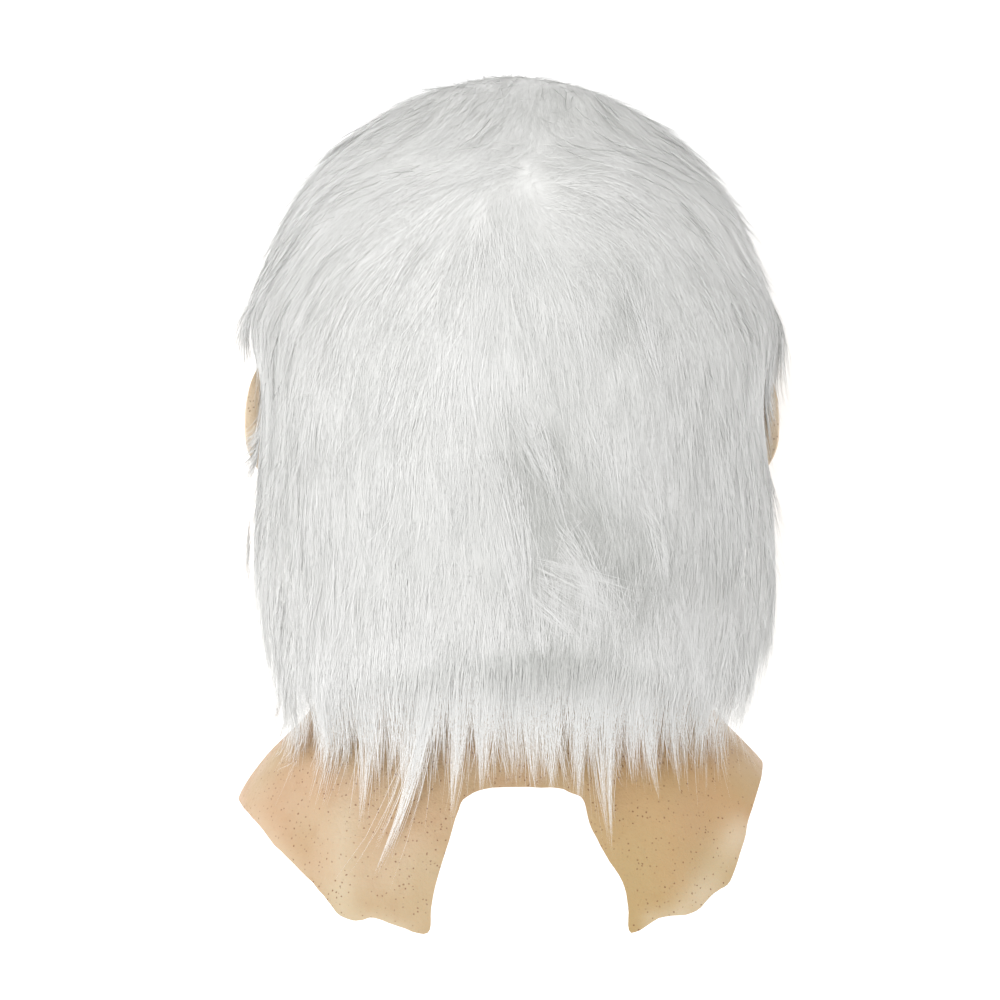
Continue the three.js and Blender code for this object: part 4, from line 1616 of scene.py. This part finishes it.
    def nape(self, crowd: int) -> Strands:
        """Grows the nape's locks, with small ones between them.

        Args:
            crowd: How many strands a lock has.

        Returns:
            The strands.
        """
        rng, large = self.random, np.array(self.growth.nape_locks, float)
        small = np.empty((self.small_locks, 4))
        small[:, 0] = rng.uniform(-92, 92, len(small))
        small[:, 1] = small[:, 0] * 1.07 + rng.normal(0, 5, len(small))
        small[:, 2] = 60 + 20 * rng.uniform(0, 1, len(small)) + 0.0014 * small[:, 0] ** 2
        small[:, 3] = rng.uniform(3, 7, len(small))
        rows = np.vstack([large, small])
        start = np.column_stack([rows[:, 0], np.full(len(rows), self.nape_start)])
        sizes = [crowd] * len(large) + [crowd // 3] * len(small)
        return self.hanging(start, rows[:, 1:3], rows[:, 3], sizes, self.nape_bright)

    def hanging(self, start: Array, tip: Array, half: Array, sizes: list[int], bright: float) -> Strands:
        """Grows locks on the back of the head, each from a wide root to a fine tip.

        Args:
            start: Where each lock starts, seen from behind.
            tip: Where its tip lies.
            half: Its half width.
            sizes: How many strands it has.
            bright: How bright it is, from 0 to 1.

        Returns:
            The strands.
        """
        rng, fur, locks = self.random, self.growth, len(sizes)
        start, tip, half = (np.repeat(part, sizes, axis=0) for part in (start, tip, half))
        count, along = len(half), tip - start
        across = unit(np.column_stack([-along[:, 1], along[:, 0]]))
        own = np.repeat(rng.normal(0, 0.06, locks), sizes)
        aside = rng.uniform(-1, 1, count)
        free = rng.uniform(0, 1, count) ** 4
        root = start + along * rng.uniform(-0.27, 0.27, count)[:, None]
        early = 0.12 * np.abs(aside) + 0.5 * rng.uniform(0, 1, count) ** 1.4
        end = tip + 3 * unit(along) + (root - tip) * early[:, None]
        root += across * (aside * half * 1.3)[:, None]
        end += across * (aside * (0.7 + 0.12 * half) + free * rng.normal(0, 9, count))[:, None]
        bow = rng.normal(0, 1.2, count) + np.repeat(rng.normal(0, 1.5, locks), sizes)
        top = rng.uniform(0.965, 1.01, count)
        points, ways = [], []
        for share in np.linspace(0, 1, 6):
            here = root + (end - root) * share + across * (bow * math.sin(math.pi * share))[:, None]
            way = fur.above(here[:, 0], here[:, 1])
            past = fur.past_edge(fur.place(way, np.ones(count)))
            height = top * (1 - 0.6 * ease(past, -34, 4)) - 0.04 * (1 - share)
            points.append(fur.place(way, height))
            ways.append(fur.surface(way)[2])
        shade = np.clip(bright + own + rng.normal(0, 0.07, count), 0, 1)
        turn, width = rng.normal(0, 0.25, count), rng.uniform(0.08, 0.18, count)
        return Strands(np.stack(points, axis=1), np.stack(ways, axis=1), shade, width, turn)

    def wisps(self, crowd: int) -> Strands:
        """Grows the wisps that stand off the sides.

        Args:
            crowd: How many strands a wisp has.

        Returns:
            The strands.
        """
        rng, fur = self.random, self.growth
        count = crowd * len(fur.wisps)
        root, tip, half = (np.repeat(np.array(part, float), crowd, axis=0) for part in zip(*fur.wisps))
        way, goal = unit(root - fur.centre), unit(tip - fur.centre)
        lift = np.linalg.norm(tip - fur.centre, axis=1) - fur.surface(goal)[0]
        lift = np.maximum(lift, 2) * rng.uniform(0.3, 1.1, count)
        aside = rng.normal(0, 0.55, (count, 3)) * half[:, None]
        loose = rng.normal(0, 1, (count, 3)) * (0.6 + 4 * rng.uniform(0, 1, count) ** 4)[:, None]
        reach, start = rng.uniform(0.5, 1.0, count), rng.uniform(-0.4, 0.2, count)
        nape = fur.nape_share(root)
        points, ways = [], []
        for share in np.linspace(0, 1, 6):
            along = (start + (reach - start) * share)[:, None]
            off = aside * (1 - 0.5 * np.maximum(along, 0)) + loose * share**1.5
            here = fur.centre + unit(way + (goal - way) * along) * 105 + off
            at = unit(here - fur.centre)
            outward = fur.surface(at)[2]
            rise = lift[:, None] * np.maximum(along, 0) ** 1.7
            lost = nape * (1 - fur.thinned(fur.place(at, np.ones(count)), nape))
            height = 0.97 * (1 - lost)
            points.append(fur.place(at, height) + outward * rise)
            ways.append(outward)
        bright = np.clip(self.wisp_bright + rng.normal(0, 0.1, count), 0, 1)
        turn, width = rng.normal(0, 0.7, count), rng.uniform(0.07, 0.15, count)
        return Strands(np.stack(points, axis=1), np.stack(ways, axis=1), bright, width, turn)

    def brows(self, count: int) -> Strands:
        """Grows the bushy brows of the same fur, which hang out and down over the eyes.

        Args:
            count: How many strands both have.

        Returns:
            The strands.
        """
        rng, face = self.random, Face()
        side = np.where(np.arange(count) % 2, 1.0, -1.0)
        across = 12 + 40 * rng.uniform(0, 1, count)
        y = face.brow_y + 1 + 4.5 * np.sin(math.pi * (across - 8) / 62) + rng.normal(0, 2.4, count)
        long = rng.uniform(8, 17, count) * (0.75 + 0.35 * ease(across, 20, 46))
        lean = rng.normal(0.55, 0.25, count) + 0.5 * ease(across, 30, 52)
        lift = rng.uniform(1, 5, count)
        points, ways = [], []
        for share in np.linspace(0, 1, 4):
            x = across + long * share * np.sin(lean)
            here = y + 2 * share - long * share**1.6 * np.cos(lean)
            sine = np.minimum(x / self.growth.skin.ring(here)[0], 1) ** (self.growth.skin.power / 2)
            plain = self.growth.skin.point(here, np.arcsin(sine))
            rise = face.depth(x, here) + 0.2 + lift * share
            points.append(plain * np.column_stack([side, side**2, side**2]) - rise[:, None] * [0, 0, 1])
            ways.append(np.broadcast_to([0.0, 0.25, -1.0], (count, 3)))
        shade = np.clip(self.brow_bright + rng.normal(0, 0.12, count), 0, 1)
        turn, width = rng.normal(0, 0.6, count), rng.uniform(0.12, 0.24, count)
        return Strands(np.stack(points, axis=1), unit(np.stack(ways, axis=1)), shade, width, turn)

    def ribbons(self, name: str, strands: Strands) -> bpy.types.Object:
        """Gives each strand a flat ribbon that narrows to its tip.

        Args:
            name: The piece's name.
            strands: What it is made of.

        Returns:
            The strands as one mesh.
        """
        points = strands.points
        count, levels = points.shape[:2]
        columns = 2 * count - 1
        bm = bmesh.new()
        bmesh.ops.create_grid(bm, x_segments=columns, y_segments=levels - 1, size=1)
        between = [face for face in bm.faces if face.index % columns % 2]
        bmesh.ops.delete(bm, geom=between, context="FACES")
        made = piece(bm, name)
        tangent = unit(np.gradient(points, axis=1))
        flat = unit(np.cross(tangent, strands.ways))
        turn = strands.turn[:, None, None]
        across = flat * np.cos(turn) + np.cross(tangent, flat) * np.sin(turn)
        taper = np.interp(np.linspace(0, 1, levels), *self.taper)
        half = (strands.width[:, None] * taper / 2)[..., None]
        pair = np.stack([points - across * half, points + across * half], axis=1)
        clear = self.random.uniform(*self.over_floor, count)[:, None, None]
        order = (2, 0, 1, 3)
        placed = self.frame.to_row(self.frame.pressed(pair, clear)).transpose(order)
        move_places(made.data, placed.reshape(-1, 3))
        made.data.shade_smooth()
        facing = unit(self.frame.turned(np.cross(flat, tangent)) - self.frame.shift)
        normals = np.broadcast_to(facing[:, None], pair.shape).transpose(order).reshape(-1, 3)
        made.data.normals_split_custom_set_from_vertices(normals)
        along = np.repeat(np.linspace(0, 1, levels), 2 * count)
        self.tag(made.data, {"strand": np.tile(np.repeat(strands.bright, 2), levels), "along": along})
        return made

    def build(self) -> list[bpy.types.Object]:
        """Makes the backing and every stretch of strands.

        Returns:
            The finished pieces, the backing first.
        """
        made = [self.backing()]
        roots = self.roots(self.coat.clumps)
        turn, _ = self.growth.polar(roots)
        parts = np.array_split(np.argsort(turn), len(Quarter))
        for quarter, chosen in zip(Quarter, parts):
            each = self.coat.strands // len(chosen)
            made.append(self.ribbons("fur_" + quarter.value, self.paths(roots[chosen], each, self.coat)))
        for name, pile in (("fur_fuzz", self.fuzz), ("fur_flyaways", self.flyaways)):
            roots = self.roots(pile.clumps)
            made.append(self.ribbons(name, self.paths(roots, pile.strands // len(roots), pile)))
        made.append(self.ribbons("fur_nape", self.nape(self.nape_crowd)))
        made.append(self.ribbons("fur_wisps", self.wisps(self.wisp_crowd)))
        made.append(self.ribbons("fur_brows", self.brows(self.brow_strands)))
        start, tip, half = (np.array(part, float) for part in zip(*self.growth.back_locks))
        sizes = [int(self.lock_crowd * width) for width in half]
        made.append(self.ribbons("fur_locks", self.hanging(start, tip, half, sizes, self.lock_bright)))
        for one in made:
            one.data.materials.append(self.material)
        return made


@dataclass
class Studio:
    """The plain pale floor, the soft lights and the camera."""

    frame: HeadFrame
    aim: Triple = (-4.9, 176.7, 5.0)
    distance: float = 1.6
    lens: float = 140.8
    sensor: float = 36
    floor_radius: float = 6
    floor_sides: int = 96
    floor_white: float = 0.97
    floor_glow: float = 0.24
    # Each lamp's name, place, size and power.
    lamps: tuple = (
        ("key_light", (-1.3, 0.35, 2.0), 2.2, 34),
        ("fill_light", (1.7, -0.8, 1.6), 1.6, 7),
    )
    lit_point: Triple = (0, 0, 0.1)

    def floor(self) -> None:
        """Lays a wide pale floor at the height that the mask lies on."""
        bm = bmesh.new()
        bmesh.ops.create_circle(bm, cap_ends=True, segments=self.floor_sides, radius=self.floor_radius)
        made = piece(bm, "floor")
        pale, _, shader = blank("floor_white")
        shader.inputs["Base Color"].default_value = (*[self.floor_white] * 3, 1)
        shader.inputs["Roughness"].default_value = 0.9
        shader.inputs["Specular IOR Level"].default_value = 0.1
        shader.inputs["Emission Color"].default_value = (1, 1, 1, 1)
        shader.inputs["Emission Strength"].default_value = self.floor_glow
        made.data.materials.append(pale)

    def camera(self) -> None:
        """Sets up the camera that looks down on the back of the head."""
        data = bpy.data.cameras.new("camera")
        data.lens, data.sensor_width = self.lens, self.sensor
        made = bpy.data.objects.new("camera", data)
        bpy.context.scene.collection.objects.link(made)
        place = self.frame.to_row(np.array([self.aim]))[0]
        away = np.array([0, -math.sin(self.frame.tilt), math.cos(self.frame.tilt)])
        made.location = place + away * self.distance
        made.rotation_euler = (self.frame.tilt, 0, 0)
        bpy.context.scene.camera = made

    def lamp(self, name: str, place: Triple, size: float, power: float) -> None:
        """Hangs a square soft light that points at the mask.

        Args:
            name: Its name.
            place: Where it hangs, in metres.
            size: The length of its sides.
            power: Its power in watts.
        """
        data = bpy.data.lights.new(name, "AREA")
        data.energy, data.size = power, size
        made = bpy.data.objects.new(name, data)
        made.location = place
        away = Vector(self.lit_point) - Vector(place)
        made.rotation_euler = away.to_track_quat("-Z", "Y").to_euler()
        bpy.context.scene.collection.objects.link(made)

    def build(self) -> None:
        """Sets up floor, light, camera and colour."""
        self.floor()
        self.camera()
        for name, place, size, power in self.lamps:
            self.lamp(name, place, size, power)
        world = bpy.data.worlds.new("studio")
        world.use_nodes = True
        world.node_tree.nodes["Background"].inputs[0].default_value = (1, 1, 1, 1)
        world.node_tree.nodes["Background"].inputs[1].default_value = 1.0
        bpy.context.scene.world = world
        bpy.context.scene.view_settings.view_transform = "Standard"


def main() -> None:
    """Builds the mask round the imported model."""
    logging.basicConfig(level=logging.INFO, format="%(message)s")
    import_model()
    frame, skin = HeadFrame(), Rings(SKIN_STATIONS)
    Studio(frame).build()
    head = LatexHead(frame, skin)
    fur = FurField(skin, Rings(FUR_STATIONS), head.slack)
    mottle = mottle_group()
    shell = head.build(fur, PAINTED.material(mottle), BARE.material(mottle))
    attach(shell, "root")
    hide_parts("latex_mask")
    coat = FurCap(frame, fur, Fur().material()).build()
    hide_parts("fur_wig")
    for stretch in coat:
        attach(stretch, "root")
    for made in (shell, *coat):
        LOG.info("%s: %d triangles", made.name, sum(len(face.vertices) - 2 for face in made.data.polygons))


if __name__ == "__main__":
    main()
